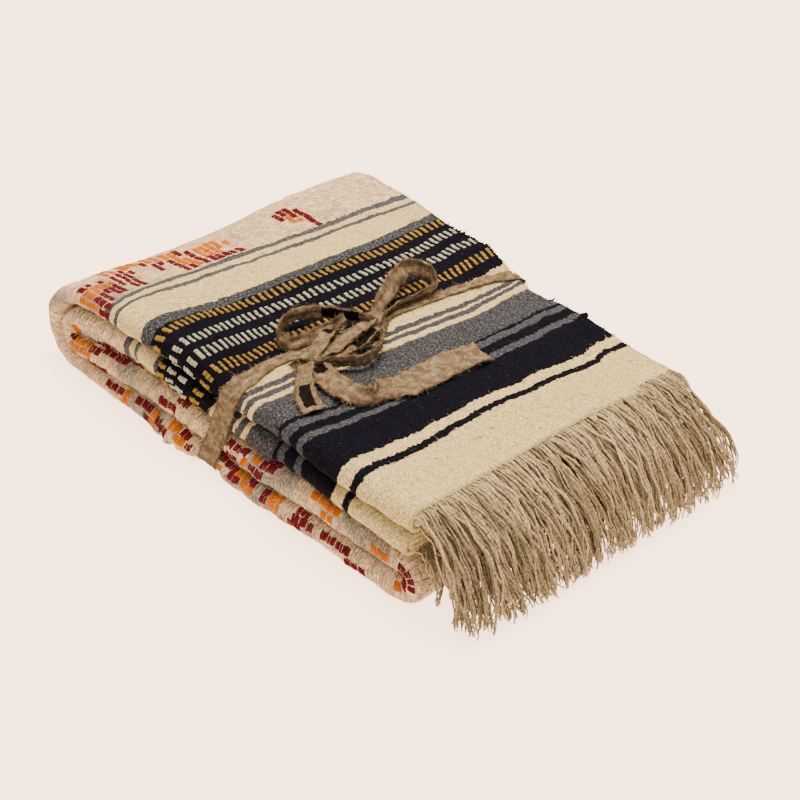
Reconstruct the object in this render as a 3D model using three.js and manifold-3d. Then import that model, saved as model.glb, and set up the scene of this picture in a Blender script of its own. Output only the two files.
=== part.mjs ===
// A long striped wool throw folded into a pack, with its warp ends left as a fringe, tied round
// with a linen ribbon. Millimetres, +Z up: +X is the fringed end, -Y the side of the rolled folds.
// The cloth is first folded evenly, and settle() then gives the pack its real, uneven form.
import * as THREE from 'three';
import { mergeVertices } from 'three/addons/utils/BufferGeometryUtils.js';
import Module from 'manifold-3d';

const wasm = await Module();
wasm.setup();
const { clamp, degToRad, lerp, radToDeg, smoothstep } = THREE.MathUtils;

// The cloth: its thickness, and the share of the stack that one layer takes
const layerThick = 4.0;
const layerPitch = 5.4;

// The evenly folded pack: four levels of four nested layers
const packWidth = 325;
const clothEndX = 235;
const rightTurnX = 223;
const outerTurnX = -203.5;
const innerTurnX = -200;
const halfLevel = 1.5 * layerPitch + layerThick / 2;
const levelPitch = 4 * layerPitch;
const evenHeight = 3 * levelPitch + 2 * halfLevel;
const leftEndX = outerTurnX - evenHeight / 2;
const levelZ = {
  bottom: halfLevel,
  second: halfLevel + levelPitch,
  third: halfLevel + 2 * levelPitch,
  top: halfLevel + 3 * levelPitch,
};

// Where the layers of a level end or turn on the far side
const topEdgeY = packWidth / 2;
const secondEdgeY = topEdgeY - 4;
const farFoldY = topEdgeY - 7;
const rollY = halfLevel - packWidth / 2;
const innerRowsY = [-105, 0, 105];

// The tie
const ribbonX = 20;
const ribbonWidth = 24;
const ribbonThick = 1.2;
const ribbonGap = 0.9;
const tieRecess = { depth: 1.5, flatHalf: 14, rampHalf: 24, reach: 14 };
const bandCorner = { standOff: 0.4, cut: 2, footZ: 1.5, footIn: 1 };
const knot = { x: 22, y: 0, lift: 8.6, halfX: 12, halfY: 11, halfZ: 7.2 };

// The fringe: a strip of the last weft rows, parted from the cloth's edge, and its strands
const partingGap = 0.3;
const backingDeep = 3.0;
const strandWidth = 2.2;
const strandTall = 1.9;

const colours = { cloth: '#d6cab0', fringe: '#c4ad87', ribbon: '#b0906a' };

// Settling: the near and far sides are whole at this distance from the middle, and the tie draws
// the cloth in within its reach
const sideZone = { from: 60, full: 160 };
const tieReach = 62;

// Height: how far it swells at its two ends, sinks at the far side and is drawn down by the tie
const swellAt = { left: 1.13, right: 1.015, farLoss: 0.085 };
const drawnBy = { all: 0.03, near: 0.1, far: 0.04 };
const openLeftTurn = { rise: 9, power: 1.5, blend: 1 };
const leftDroop = { share: 0.2, fromLeft: 0.62, noneY: -155, fullY: 10 };

// Place: how far the sides lean in, the foot swells out beside the tie and at the right end, the
// stripes shear, the cloth slips under the tie and the left turn leans
const nearLean = { top: 9, tiedTop: 9 };
const nearFoot = { out: 7, power: 3, from: 12, full: 26, fadeFrom: 45, fadeTo: 130 };
const rightFoot = { out: 10, upTo: 0.5, fromX: 150 };
const farLean = { tiedTop: 4, left: -9, right: 7, fromX: -30, toX: 90 };
const stripeShear = { slope: 0.085, fadeFrom: 0.5 };
const tieSlip = { back: 22, reach: 110 };
const leftLean = { top: 10, foot: 4 };

// Waves in the cloth: the height of each, and the distance along an axis that turns it by a radian
const topWaves = [
  { size: 1.3, x: 31, y: 70, z: Infinity },
  { size: 0.8, x: 21, y: -45, z: Infinity },
];
const edgeWaves = [
  { size: 1.6, x: 37, y: Infinity, z: 10 },
  { size: 0.8, x: 19, y: Infinity, z: 16 },
];
const endWaves = [{ size: 2.2, x: Infinity, y: 50, z: 20 }];
const endWaveFromX = 150;

function waveAt(waves, { x, y, z }) {
  return waves.reduce((sum, wave) => sum + wave.size * Math.sin(x / wave.x + y / wave.y + z / wave.z), 0);
}

// Settled form of a point of the evenly folded pack: thicker at the left turn, lower at the far
// side, drawn in under the tie, and a little wavy. The underside stays level, but for the tie's recess.
function settle(point) {
  const { x, y, z } = point;
  const along = clamp((x - leftEndX) / (clothEndX - leftEndX), 0, 1);
  const toLeft = 1 - along;
  const height = clamp(z / evenHeight, 0, 1);
  const toNear = smoothstep(-y, sideZone.from, sideZone.full);
  const toFar = smoothstep(y, sideZone.from, sideZone.full);
  const fromTie = Math.abs(x - ribbonX);
  const tied = 1 - smoothstep(fromTie, tieRecess.flatHalf, tieReach);
  const free = 1 - tied;

  const pastMiddle = z - 2 * levelPitch;
  const openTurn = openLeftTurn.rise * Math.pow(toLeft, openLeftTurn.power)
    * smoothstep(pastMiddle, -openLeftTurn.blend, openLeftTurn.blend);
  const droop = leftDroop.share * smoothstep(toLeft, leftDroop.fromLeft, 1)
    * smoothstep(-y, leftDroop.noneY, leftDroop.fullY);
  const swell = lerp(swellAt.left, swellAt.right, along) * (1 - swellAt.farLoss * toFar) * (1 - droop);
  const drawnDown = 1 - tied * (drawnBy.all + drawnBy.near * toNear + drawnBy.far * toFar);
  const recess = tieRecess.depth * (1 - smoothstep(fromTie, tieRecess.flatHalf, tieRecess.rampHalf))
    * (1 - clamp(z / tieRecess.reach, 0, 1));
  const above = (Math.max(z, 0) + openTurn) * swell * drawnDown + free * height * waveAt(topWaves, point);

  const edgeWave = free * waveAt(edgeWaves, point);
  const foot = nearFoot.out * Math.pow(1 - height, nearFoot.power)
    * smoothstep(fromTie, nearFoot.from, nearFoot.full)
    * (1 - smoothstep(fromTie, nearFoot.fadeFrom, nearFoot.fadeTo));
  const nearIn = toNear * ((nearLean.top + nearLean.tiedTop * tied) * height + edgeWave - foot);
  const farStep = lerp(farLean.left, farLean.right, smoothstep(x, farLean.fromX, farLean.toX));
  const farIn = toFar * (farLean.tiedTop * tied * height + edgeWave + farStep);

  const shear = stripeShear.slope * y * (1 - smoothstep(along, stripeShear.fadeFrom, 1));
  const slip = tieSlip.back * toNear * (1 - height)
    * (1 - smoothstep(fromTie, tieRecess.rampHalf, tieSlip.reach));
  const lean = toLeft * toLeft * (leftLean.top * height - leftLean.foot);
  const rightOut = rightFoot.out * Math.max(1 - height / rightFoot.upTo, 0)
    * smoothstep(x, rightFoot.fromX, clothEndX);
  const endWave = smoothstep(x, endWaveFromX, clothEndX) * waveAt(endWaves, point);
  return new THREE.Vector3(
    x + shear - slip + lean + rightOut + endWave,
    y + nearIn - farIn,
    above + recess + Math.min(z, 0),
  );
}

// Closed body of a sheet: corner(row, column, side) gives its points on both faces. Every quad is
// split along the diagonal that runs towards +X and +Y, so that stacked layers keep parallel faces.
function sheetGeometry(rows, columns, corner, ring = false) {
  const positions = [];
  for (const side of [1, -1]) {
    for (let row = 0; row < rows; row += 1) {
      for (let column = 0; column < columns; column += 1) {
        positions.push(...corner(row, column, side).toArray());
      }
    }
  }
  const at = (row, column, face) => (face * rows + (row % rows)) * columns + column;
  const index = [];
  const spread = (a, b, axis) => positions[3 * b + axis] - positions[3 * a + axis];
  const quad = (a, b, c, d) => {
    if (spread(a, c, 0) * spread(a, c, 1) >= 0) {
      index.push(a, b, c, a, c, d);
    } else {
      index.push(a, b, d, b, c, d);
    }
  };
  const last = columns - 1;
  const rowSpans = ring ? rows : rows - 1;
  for (let row = 0; row < rowSpans; row += 1) {
    for (let column = 0; column < last; column += 1) {
      quad(at(row, column, 0), at(row + 1, column, 0), at(row + 1, column + 1, 0), at(row, column + 1, 0));
      quad(at(row, column, 1), at(row, column + 1, 1), at(row + 1, column + 1, 1), at(row + 1, column, 1));
    }
    quad(at(row, 0, 0), at(row, 0, 1), at(row + 1, 0, 1), at(row + 1, 0, 0));
    quad(at(row, last, 0), at(row + 1, last, 0), at(row + 1, last, 1), at(row, last, 1));
  }
  if (!ring) {
    const end = rows - 1;
    for (let column = 0; column < last; column += 1) {
      quad(at(0, column, 0), at(0, column + 1, 0), at(0, column + 1, 1), at(0, column, 1));
      quad(at(end, column, 0), at(end, column, 1), at(end, column + 1, 1), at(end, column + 1, 0));
    }
  }
  return bodyGeometry(positions, index);
}

// Indexed geometry whose faces point out
function bodyGeometry(positions, index) {
  const geometry = new THREE.BufferGeometry();
  geometry.setAttribute('position', new THREE.Float32BufferAttribute(positions, 3));
  geometry.setIndex(signedVolume(positions, index) < 0 ? index.slice().reverse() : index);
  return geometry;
}

function signedVolume(positions, index) {
  const [a, b, c] = [new THREE.Vector3(), new THREE.Vector3(), new THREE.Vector3()];
  let volume = 0;
  for (let i = 0; i < index.length; i += 3) {
    a.fromArray(positions, 3 * index[i]);
    b.fromArray(positions, 3 * index[i + 1]);
    c.fromArray(positions, 3 * index[i + 2]);
    volume += a.dot(b.cross(c)) / 6;
  }
  return volume;
}

// Joins closed bodies into one
function joined(geometries) {
  const solids = geometries.map((geometry) => {
    const body = geometry.clone();
    body.deleteAttribute('normal');
    body.deleteAttribute('uv');
    const merged = mergeVertices(body, 1e-4);
    return new wasm.Manifold(new wasm.Mesh({
      numProp: 3,
      vertProperties: new Float32Array(merged.attributes.position.array),
      triVerts: new Uint32Array(merged.index.array),
    }));
  });
  const whole = solids.reduce((sum, solid) => sum.add(solid)).getMesh();
  return bodyGeometry(Array.from(whole.vertProperties), Array.from(whole.triVerts));
}

// One level across the pack, from the free edge of its second layer round to that of its top one.
// n is the height in the level, and (normalY, normalN) the way in which the cloth's face looks.
function levelSection() {
  const section = [];
  const flat = (columns, n, normalN) => {
    columns.forEach((y) => section.push({ y, n, normalY: 0, normalN }));
  };
  const turn = (y, n, radius, fromAngle, toAngle, steps, facing) => {
    for (let step = 0; step <= steps; step += 1) {
      const angle = degToRad(lerp(fromAngle, toAngle, step / steps));
      const [outY, outN] = [Math.cos(angle), Math.sin(angle)];
      section.push({
        y: y + radius * outY, n: n + radius * outN, normalY: facing * outY, normalN: facing * outN,
      });
    }
  };
  const towardsRoll = [...innerRowsY].reverse();
  flat([secondEdgeY, ...towardsRoll], 0.5 * layerPitch, -1);
  turn(rollY, 0, 0.5 * layerPitch, 90, 270, 4, -1);
  flat(innerRowsY, -0.5 * layerPitch, 1);
  turn(farFoldY, -layerPitch, 0.5 * layerPitch, 90, -90, 3, 1);
  flat(towardsRoll, -1.5 * layerPitch, -1);
  turn(rollY, 0, 1.5 * layerPitch, 270, 90, 6, 1);
  flat([...innerRowsY, topEdgeY], 1.5 * layerPitch, 1);
  return section;
}

// Lengthwise stations of a straight level: the tie's recess and its ramps have their own
const tieStations = [tieRecess.rampHalf, tieRecess.flatHalf, -tieRecess.flatHalf, -tieRecess.rampHalf];
const levelStations = [clothEndX, 185, 125, ...tieStations.map((offset) => ribbonX + offset), -65, -135];

// The way of the cloth's middle through the four levels, from its upper fringe to its lower one
function packPath() {
  const path = [];
  const level = (z, normalZ, stations) => {
    stations.forEach((x) => path.push({ x, z, normalX: 0, normalZ }));
  };
  const turn = (x, lowZ, highZ, fromAngle, toAngle, steps, facing) => {
    const radius = (highZ - lowZ) / 2;
    for (let step = 0; step <= steps; step += 1) {
      const angle = degToRad(lerp(fromAngle, toAngle, step / steps));
      const [outX, outZ] = [Math.cos(angle), Math.sin(angle)];
      path.push({
        x: x + radius * outX, z: lowZ + radius + radius * outZ, normalX: facing * outX, normalZ: facing * outZ,
      });
    }
  };
  const inner = levelStations.slice(1);
  const outward = [...inner].reverse();
  level(levelZ.top, 1, levelStations);
  turn(outerTurnX, levelZ.bottom, levelZ.top, 90, 270, 8, 1);
  level(levelZ.bottom, -1, outward);
  turn(rightTurnX, levelZ.bottom, levelZ.second, -90, 90, 5, 1);
  level(levelZ.second, 1, inner);
  turn(innerTurnX, levelZ.second, levelZ.third, 270, 90, 6, -1);
  level(levelZ.third, -1, [...outward, clothEndX]);
  return path;
}

// Sheet of cloth that follows a path lengthwise and a section across
function foldedCloth(path, section) {
  return sheetGeometry(path.length, section.length, (row, column, side) => {
    const along = path[row];
    const across = section[column];
    const n = across.n + side * across.normalN * layerThick / 2;
    const y = across.y + side * across.normalY * layerThick / 2;
    return settle({ x: along.x + n * along.normalX, y, z: along.z + n * along.normalZ });
  });
}

// A strand of three sides with a flat underside, so that its end lies level on the floor
function strandGeometry(points) {
  const corners = [
    { aside: -strandWidth / 2, above: -strandTall / 3 },
    { aside: strandWidth / 2, above: -strandTall / 3 },
    { aside: 0, above: 2 * strandTall / 3 },
  ];
  const positions = [];
  const index = [];
  points.forEach((point, step) => {
    const before = points[Math.max(step - 1, 0)];
    const after = points[Math.min(step + 1, points.length - 1)];
    const ahead = after.clone().sub(before).normalize();
    const aside = new THREE.Vector3(-ahead.y, ahead.x, 0).normalize();
    const level = step >= points.length - floorRun.length;
    const above = level ? new THREE.Vector3(0, 0, 1) : ahead.clone().cross(aside);
    corners.forEach((corner) => {
      const place = point.clone().addScaledVector(aside, corner.aside).addScaledVector(above, corner.above);
      positions.push(...place.toArray());
    });
    if (step > 0) {
      for (let side = 0; side < 3; side += 1) {
        const [a, b] = [3 * (step - 1) + side, 3 * (step - 1) + (side + 1) % 3];
        index.push(a, b, b + 3, a, b + 3, a + 3);
      }
    }
  });
  const end = 3 * (points.length - 1);
  index.push(0, 2, 1, end, end + 1, end + 2);
  return bodyGeometry(positions, index);
}

// How a strand falls: its reach past its root in millimetres, and its height as a share of the
// root's. Past its fall it lies on the floor at the places of floorRun.
const strandFalls = {
  outer: [
    { reach: 10, height: 0.985 },
    { reach: 27, height: 0.86 },
    { reach: 43, height: 0.68 },
    { reach: 54, height: 0.46 },
    { reach: 59, height: 0.22 },
    { reach: 63, height: 0.05 },
  ],
  inner: [
    { reach: 10, height: 0.97 },
    { reach: 22, height: 0.78 },
    { reach: 31, height: 0.5 },
    { reach: 36, height: 0.22 },
    { reach: 39, height: 0.06 },
  ],
  lower: [
    { reach: 9, height: 0.97 },
    { reach: 16, height: 0.8 },
    { reach: 21, height: 0.5 },
    { reach: 24, height: 0.25 },
    { reach: 26, height: 0.07 },
  ],
};
const floorRun = [4, 12];

// How strands stray sideways as they fall, in loose bundles that fan out at the far corner, and how
// their lengths differ
const strandBundles = [
  { size: 3.2, x: Infinity, y: 23, z: Infinity },
  { size: 1.4, x: Infinity, y: 9.7, z: Infinity },
];
const strandFan = { slope: 0.06, corner: 12, cornerFromY: 90, power: 1.5 };
const strandLengths = [
  { size: 0.05, x: Infinity, y: 15, z: Infinity },
  { size: 0.03, x: Infinity, y: 3.1, z: Infinity },
];

// One strand from its root in the backing down to the floor, where its end lies out flat
function fringeStrand(root, falls) {
  const longer = 1 + waveAt(strandLengths, root);
  const sideways = waveAt(strandBundles, root) + strandFan.slope * root.y
    + strandFan.corner * smoothstep(root.y, strandFan.cornerFromY, topEdgeY);
  const fallReach = longer * falls[falls.length - 1].reach;
  const wholeReach = fallReach + longer * floorRun[floorRun.length - 1];
  const at = (reach, z) => {
    const drift = Math.pow(reach / wholeReach, strandFan.power);
    return new THREE.Vector3(root.x + reach, root.y + sideways * drift, z);
  };
  return strandGeometry([
    root,
    ...falls.map(({ reach, height }) => at(reach * longer, root.z * height)),
    ...floorRun.map((run) => at(fallReach + run, strandTall / 3)),
  ]);
}

// A fringe: its backing is a narrow strip with the section of the level it ends
function fringeGeometry(z, normalZ, rows) {
  const stations = [clothEndX + partingGap, clothEndX + partingGap + backingDeep];
  const backing = foldedCloth(stations.map((x) => ({ x, z, normalX: 0, normalZ })), levelSection());
  const strands = rows.flatMap(({ layer, count, fromY, toY, falls }) => (
    Array.from({ length: count }, (_, strand) => {
      const y = lerp(fromY, toY, strand / (count - 1));
      const root = { x: clothEndX + partingGap + backingDeep / 2, y, z: z + normalZ * layer * layerPitch };
      return fringeStrand(settle(root), strandFalls[falls]);
    })
  ));
  return joined([backing, ...strands]);
}

// Where strands stand: the layer within the level, their number and span, and the way they fall
const upperRows = [
  { layer: 1.5, count: 56, fromY: -149, toY: 159, falls: 'outer' },
  { layer: -1.5, count: 20, fromY: -146, toY: 150, falls: 'inner' },
];
const lowerRows = [
  { layer: 1.5, count: 26, fromY: -148, toY: 150, falls: 'lower' },
];

// The tie's way round the pack: the outline of the evenly folded pack, set out by the gap
function bandLoop() {
  const radius = halfLevel + ribbonGap;
  const nearTurn = (z, fromAngle, toAngle) => [0, 1, 2, 3].map((step) => {
    const angle = degToRad(lerp(fromAngle, toAngle, step / 3));
    return { y: rollY + radius * Math.cos(angle), z: z + radius * Math.sin(angle) };
  });
  const farY = topEdgeY + ribbonGap + bandCorner.standOff;
  const topZ = evenHeight + ribbonGap;
  const underZ = ribbonThick - tieRecess.depth;
  const footAngle = 180 + radToDeg(Math.asin((levelZ.bottom - underZ) / radius));
  return [
    ...nearTurn(levelZ.bottom, footAngle, 180),
    { y: rollY - radius, z: levelZ.second },
    { y: rollY - radius, z: levelZ.third },
    ...nearTurn(levelZ.top, 180, 90),
    ...innerRowsY.map((y) => ({ y, z: topZ })),
    { y: farY - bandCorner.cut, z: topZ },
    { y: farY, z: topZ - bandCorner.cut },
    { y: farY, z: levelZ.third },
    { y: farY, z: levelZ.bottom },
    { y: farY, z: bandCorner.footZ },
    { y: farY - bandCorner.footIn, z: underZ },
    ...[...innerRowsY].reverse().map((y) => ({ y, z: underZ })),
    { y: rollY, z: underZ },
  ];
}

// The closed ring of ribbon round the pack
function bandGeometry() {
  const loop = bandLoop();
  const centre = new THREE.Vector2(0, evenHeight / 2);
  return sheetGeometry(loop.length, 2, (row, column, side) => {
    const { y, z } = loop[row];
    const x = ribbonX + (column - 0.5) * ribbonWidth;
    const offset = side > 0 ? ribbonThick : 0;
    if (z < 0) {
      return settle({ x, y, z: z - offset });
    }
    const before = loop[(row + loop.length - 1) % loop.length];
    const after = loop[(row + 1) % loop.length];
    const out = new THREE.Vector2(before.z - after.z, after.y - before.y).normalize();
    if (out.dot(new THREE.Vector2(y, z).sub(centre)) < 0) {
      out.negate();
    }
    return settle({ x, y: y + out.x * offset, z: z + out.y * offset });
  }, true);
}

// A place over the pack's top, by its even x and y and its height above the cloth
function overTop(x, y, lift) {
  return settle({ x, y, z: evenHeight }).add(new THREE.Vector3(0, 0, lift));
}

// A run of ribbon through rows of points, its width along Z where upright is 1 and level where it is 0
function ribbonRun(rows) {
  const stepsPerRow = 3;
  const up = new THREE.Vector3(0, 0, 1);
  const curve = new THREE.CatmullRomCurve3(rows.map(({ x, y, lift }) => new THREE.Vector3(x, y, lift)));
  const steps = stepsPerRow * (rows.length - 1);
  const places = Array.from({ length: steps + 1 }, (_, step) => {
    const share = step / steps;
    const spot = curve.getPoint(share);
    const ahead = curve.getTangent(share);
    const rank = step / stepsPerRow;
    const low = Math.min(Math.floor(rank), rows.length - 2);
    const blend = (column) => lerp(rows[low][column], rows[low + 1][column], rank - low);
    const across = new THREE.Vector3(-ahead.y, ahead.x, 0).normalize()
      .multiplyScalar(1 - blend('upright'))
      .addScaledVector(up, blend('upright'))
      .normalize();
    const face = across.clone().cross(ahead).normalize();
    return { middle: overTop(spot.x, spot.y, spot.z), across, face, width: blend('width') };
  });
  return sheetGeometry(places.length, 2, (row, column, side) => {
    const { middle, across, face, width } = places[row];
    return middle.clone()
      .addScaledVector(across, (column - 0.5) * width)
      .addScaledVector(face, side * ribbonThick / 2);
  });
}

// The bow: two loops and two free ends, each a run of the same ribbon from the knot
const bowRuns = {
  farLoop: [
    { x: 22, y: 2, lift: 8, width: 10, upright: 0.6 },
    { x: 10, y: 22, lift: 20, width: 16, upright: 0.8 },
    { x: -6, y: 46, lift: 24, width: 22, upright: 0.8 },
    { x: 0, y: 68, lift: 20, width: 24, upright: 0.9 },
    { x: 14, y: 66, lift: 14, width: 20, upright: 0.9 },
    { x: 22, y: 40, lift: 11, width: 14, upright: 0.9 },
    { x: 23, y: 4, lift: 7, width: 10, upright: 0.7 },
  ],
  nearLoop: [
    { x: 21, y: -2, lift: 9, width: 12, upright: 0.7 },
    { x: 6, y: -16, lift: 14, width: 20, upright: 0.7 },
    { x: -12, y: -36, lift: 13, width: 20, upright: 0.9 },
    { x: -24, y: -58, lift: 11, width: 17, upright: 0.95 },
    { x: -18, y: -74, lift: 10, width: 17, upright: 0.95 },
    { x: 2, y: -74, lift: 10, width: 17, upright: 0.95 },
    { x: 22, y: -56, lift: 11, width: 18, upright: 0.9 },
    { x: 26, y: -24, lift: 10, width: 16, upright: 0.8 },
    { x: 23, y: -1, lift: 7, width: 12, upright: 0.7 },
  ],
  shortEnd: [
    { x: 24, y: 0, lift: 6, width: 12, upright: 0.8 },
    { x: 42, y: -12, lift: 10, width: 18, upright: 0.9 },
    { x: 56, y: -32, lift: 11, width: 19, upright: 0.9 },
    { x: 56, y: -54, lift: 11, width: 19, upright: 0.8 },
    { x: 44, y: -76, lift: 10, width: 20, upright: 0.6 },
    { x: 50, y: -94, lift: 7, width: 22, upright: 0.35 },
    { x: 70, y: -108, lift: 4.5, width: 24, upright: 0.1 },
    { x: 92, y: -120, lift: 4, width: 24, upright: 0 },
  ],
  longEnd: [
    { x: 44, y: -78, lift: 10, width: 14, upright: 0.6 },
    { x: 62, y: -80, lift: 8, width: 16, upright: 0.8 },
    { x: 84, y: -80, lift: 8, width: 15, upright: 0.9 },
    { x: 104, y: -78, lift: 7, width: 16, upright: 0.6 },
    { x: 114, y: -62, lift: 5, width: 24, upright: 0.1 },
    { x: 114, y: -36, lift: 4.5, width: 31, upright: 0 },
    { x: 111, y: -6, lift: 3.8, width: 31, upright: 0 },
    { x: 113, y: 38, lift: 4, width: 30, upright: 0 },
  ],
};

// The knot: a squat lump over the band
function knotGeometry() {
  const lump = new THREE.SphereGeometry(1, 12, 8);
  const centre = overTop(knot.x, knot.y, knot.lift);
  lump.scale(knot.halfX, knot.halfY, knot.halfZ);
  lump.translate(centre.x, centre.y, centre.z);
  return lump;
}

function mesh(name, geometry, colour) {
  const shown = geometry.toNonIndexed();
  shown.computeVertexNormals();
  const material = new THREE.MeshStandardMaterial({ color: colour, roughness: 0.95, metalness: 0 });
  const part = new THREE.Mesh(shown, material);
  part.name = name;
  return part;
}

const blanket = mesh('blanket', foldedCloth(packPath(), levelSection()), colours.cloth);
const upperFringe = mesh('fringe_upper', fringeGeometry(levelZ.top, 1, upperRows), colours.fringe);
const lowerFringe = mesh('fringe_lower', fringeGeometry(levelZ.third, -1, lowerRows), colours.fringe);
const bow = Object.values(bowRuns).map(ribbonRun);
const tie = mesh('ribbon_tie', joined([bandGeometry(), knotGeometry(), ...bow]), colours.ribbon);

// The origin is the middle of the underside of the whole thing
const throwPack = new THREE.Group();
throwPack.add(blanket, upperFringe, lowerFringe, tie);
const whole = new THREE.Box3().setFromObject(throwPack);
const middle = whole.getCenter(new THREE.Vector3());
throwPack.children.forEach((part) => part.position.set(-middle.x, -middle.y, -whole.min.z));

export default throwPack;
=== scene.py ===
"""A striped wool throw, folded into a pack and tied with a linen ribbon, dressed for rendering.

The tables below are in millimetres in the frame of the evenly folded pack: +X is the fringed end,
-Y the side of the rolled folds and +Z up. to_row() carries places into the row frame, in metres.
Distances along the throw start at its upper fringe, and those across it at its second layer's edge.
"""

import logging
import math
from collections.abc import Callable
from dataclasses import dataclass, field
from enum import Enum

import bpy
import numpy as np
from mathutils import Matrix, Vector


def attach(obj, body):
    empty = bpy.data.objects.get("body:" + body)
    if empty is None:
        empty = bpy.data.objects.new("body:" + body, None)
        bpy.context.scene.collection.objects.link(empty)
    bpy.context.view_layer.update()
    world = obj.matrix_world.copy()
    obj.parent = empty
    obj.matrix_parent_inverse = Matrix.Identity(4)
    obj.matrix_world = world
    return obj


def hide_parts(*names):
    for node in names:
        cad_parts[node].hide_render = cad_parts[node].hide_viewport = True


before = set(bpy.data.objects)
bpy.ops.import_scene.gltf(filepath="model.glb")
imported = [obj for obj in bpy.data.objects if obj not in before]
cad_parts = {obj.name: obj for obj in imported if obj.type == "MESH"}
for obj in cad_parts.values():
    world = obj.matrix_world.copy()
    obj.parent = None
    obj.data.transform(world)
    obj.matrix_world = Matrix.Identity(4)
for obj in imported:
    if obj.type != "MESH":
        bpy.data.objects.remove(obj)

LOG = logging.getLogger("throw")
ROW_OFFSET = np.array([-29.752, -4.290, 0.0])
MM_PER_M = 1000
CLOTH_MAP = "ClothMap"
RIPPLE_WAVES = 10

Array = np.ndarray
Pair = tuple[float, float]
Triple = tuple[float, float, float]
Colour = tuple[float, float, float, float]


def to_row(points: Array) -> Array:
    """Places of the pack's frame, in millimetres, in the row frame in metres."""
    return (np.asarray(points, float) + ROW_OFFSET) / MM_PER_M


def smoothstep(value: Array, low: float, high: float) -> Array:
    """Soft step from 0 at low to 1 at high."""
    share = np.clip((np.asarray(value, float) - low) / (high - low), 0.0, 1.0)
    return share * share * (3 - 2 * share)


def wave_sum(parts: tuple[Triple, ...], a: Array, b: Array) -> Array:
    """Sum of waves over two coordinates, from rows of (height, reach along a, reach along b)."""
    return sum(height * np.sin(a / reach_a + b / reach_b) for height, reach_a, reach_b in parts)


def paint(code: str) -> Colour:
    """Linear colour of a hex code.

    Args:
        code: Such as "d9cdaf".

    Returns:
        Red, green, blue and alpha.
    """
    parts = [int(code[place:place + 2], 16) / 255 for place in (0, 2, 4)]
    linear = [part / 12.92 if part <= 0.04045 else ((part + 0.055) / 1.055) ** 2.4 for part in parts]
    return (linear[0], linear[1], linear[2], 1.0)


def unit(vectors: Array) -> Array:
    """Vectors scaled to a length of one along their last axis."""
    length = np.linalg.norm(vectors, axis=-1, keepdims=True)
    return vectors / np.maximum(length, 1e-9)


def ripple(places: Array, reach: float, seed: int) -> Array:
    """Smooth, seeded unevenness between about -1 and 1.

    Args:
        places: Points, or flat places, along the last axis.
        reach: Rough length of one rise and fall, in the unit of the places.
        seed: Which unevenness it is.

    Returns:
        One value for each place.
    """
    draw = np.random.default_rng(seed)
    heading = unit(draw.normal(size=(RIPPLE_WAVES, places.shape[-1])))
    stretch = draw.uniform(0.6, 1.7, RIPPLE_WAVES) * 2 * math.pi / reach
    phase = draw.uniform(0, 2 * math.pi, RIPPLE_WAVES)
    turn = places @ (heading * stretch[:, None]).T + phase
    return np.sin(turn).sum(-1) / math.sqrt(RIPPLE_WAVES / 2) / 1.6


def curve_through(rows: Array, steps: int) -> Array:
    """Catmull-Rom curve through rows of numbers.

    Args:
        rows: One row for each place that the curve passes.
        steps: How many places to give between two rows.

    Returns:
        The curve's places, its first and last rows included.
    """
    rows = np.asarray(rows, float)
    padded = np.vstack([2 * rows[0] - rows[1], rows, 2 * rows[-1] - rows[-2]])
    share = np.linspace(0, 1, steps, endpoint=False)[:, None]
    spans = []
    for a, b, c, d in zip(padded, padded[1:], padded[2:], padded[3:]):
        spans.append(0.5 * (2 * b + (c - a) * share + (2 * a - 5 * b + 4 * c - d) * share ** 2
                            + (3 * b - a - 3 * c + d) * share ** 3))
    return np.vstack([*spans, rows[-1:]])


class Track:
    """A line of places, each with the way its face looks, that is read by the distance along it."""

    def __init__(self) -> None:
        """Starts with no places."""
        self._rows: list[tuple[float, ...]] = []
        self.along: Array = np.zeros(0)
        self.columns: Array = np.zeros((4, 0))
        self.length = 0.0

    def line(self, start: Pair, end: Pair, facing: Pair) -> "Track":
        """Adds a straight stretch.

        Args:
            start: Where it starts.
            end: Where it ends.
            facing: The way its face looks.

        Returns:
            The track itself.
        """
        for share in np.linspace(0, 1, max(2, int(math.dist(start, end)))):
            self._rows.append((start[0] + (end[0] - start[0]) * share,
                               start[1] + (end[1] - start[1]) * share, *facing))
        return self

    def arc(self, centre: Pair, radius: float, start: float, end: float, facing: float) -> "Track":
        """Adds part of a circle.

        Args:
            centre: The circle's middle.
            radius: Its radius.
            start: The angle it starts at, in degrees.
            end: The angle it ends at, in degrees.
            facing: 1 where the face looks out, -1 where it looks in.

        Returns:
            The track itself.
        """
        steps = max(8, int(radius * abs(end - start) / 30))
        for angle in np.radians(np.linspace(start, end, steps)):
            out = (math.cos(angle), math.sin(angle))
            self._rows.append((centre[0] + radius * out[0], centre[1] + radius * out[1],
                               facing * out[0], facing * out[1]))
        return self

    def close(self) -> "Track":
        """Measures the track.

        Returns:
            The track itself.
        """
        rows = np.array(self._rows)
        steps = np.hypot(*np.diff(rows[:, :2], axis=0).T)
        self.along = np.concatenate([[0.0], np.cumsum(steps)]) + np.arange(len(rows)) * 1e-7
        self.columns = rows.T
        self.length = float(self.along[-1])
        return self

    def at(self, along: Array) -> list[Array]:
        """Both coordinates and both parts of the facing at distances along the track."""
        return [np.interp(along, self.along, column) for column in self.columns]


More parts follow.
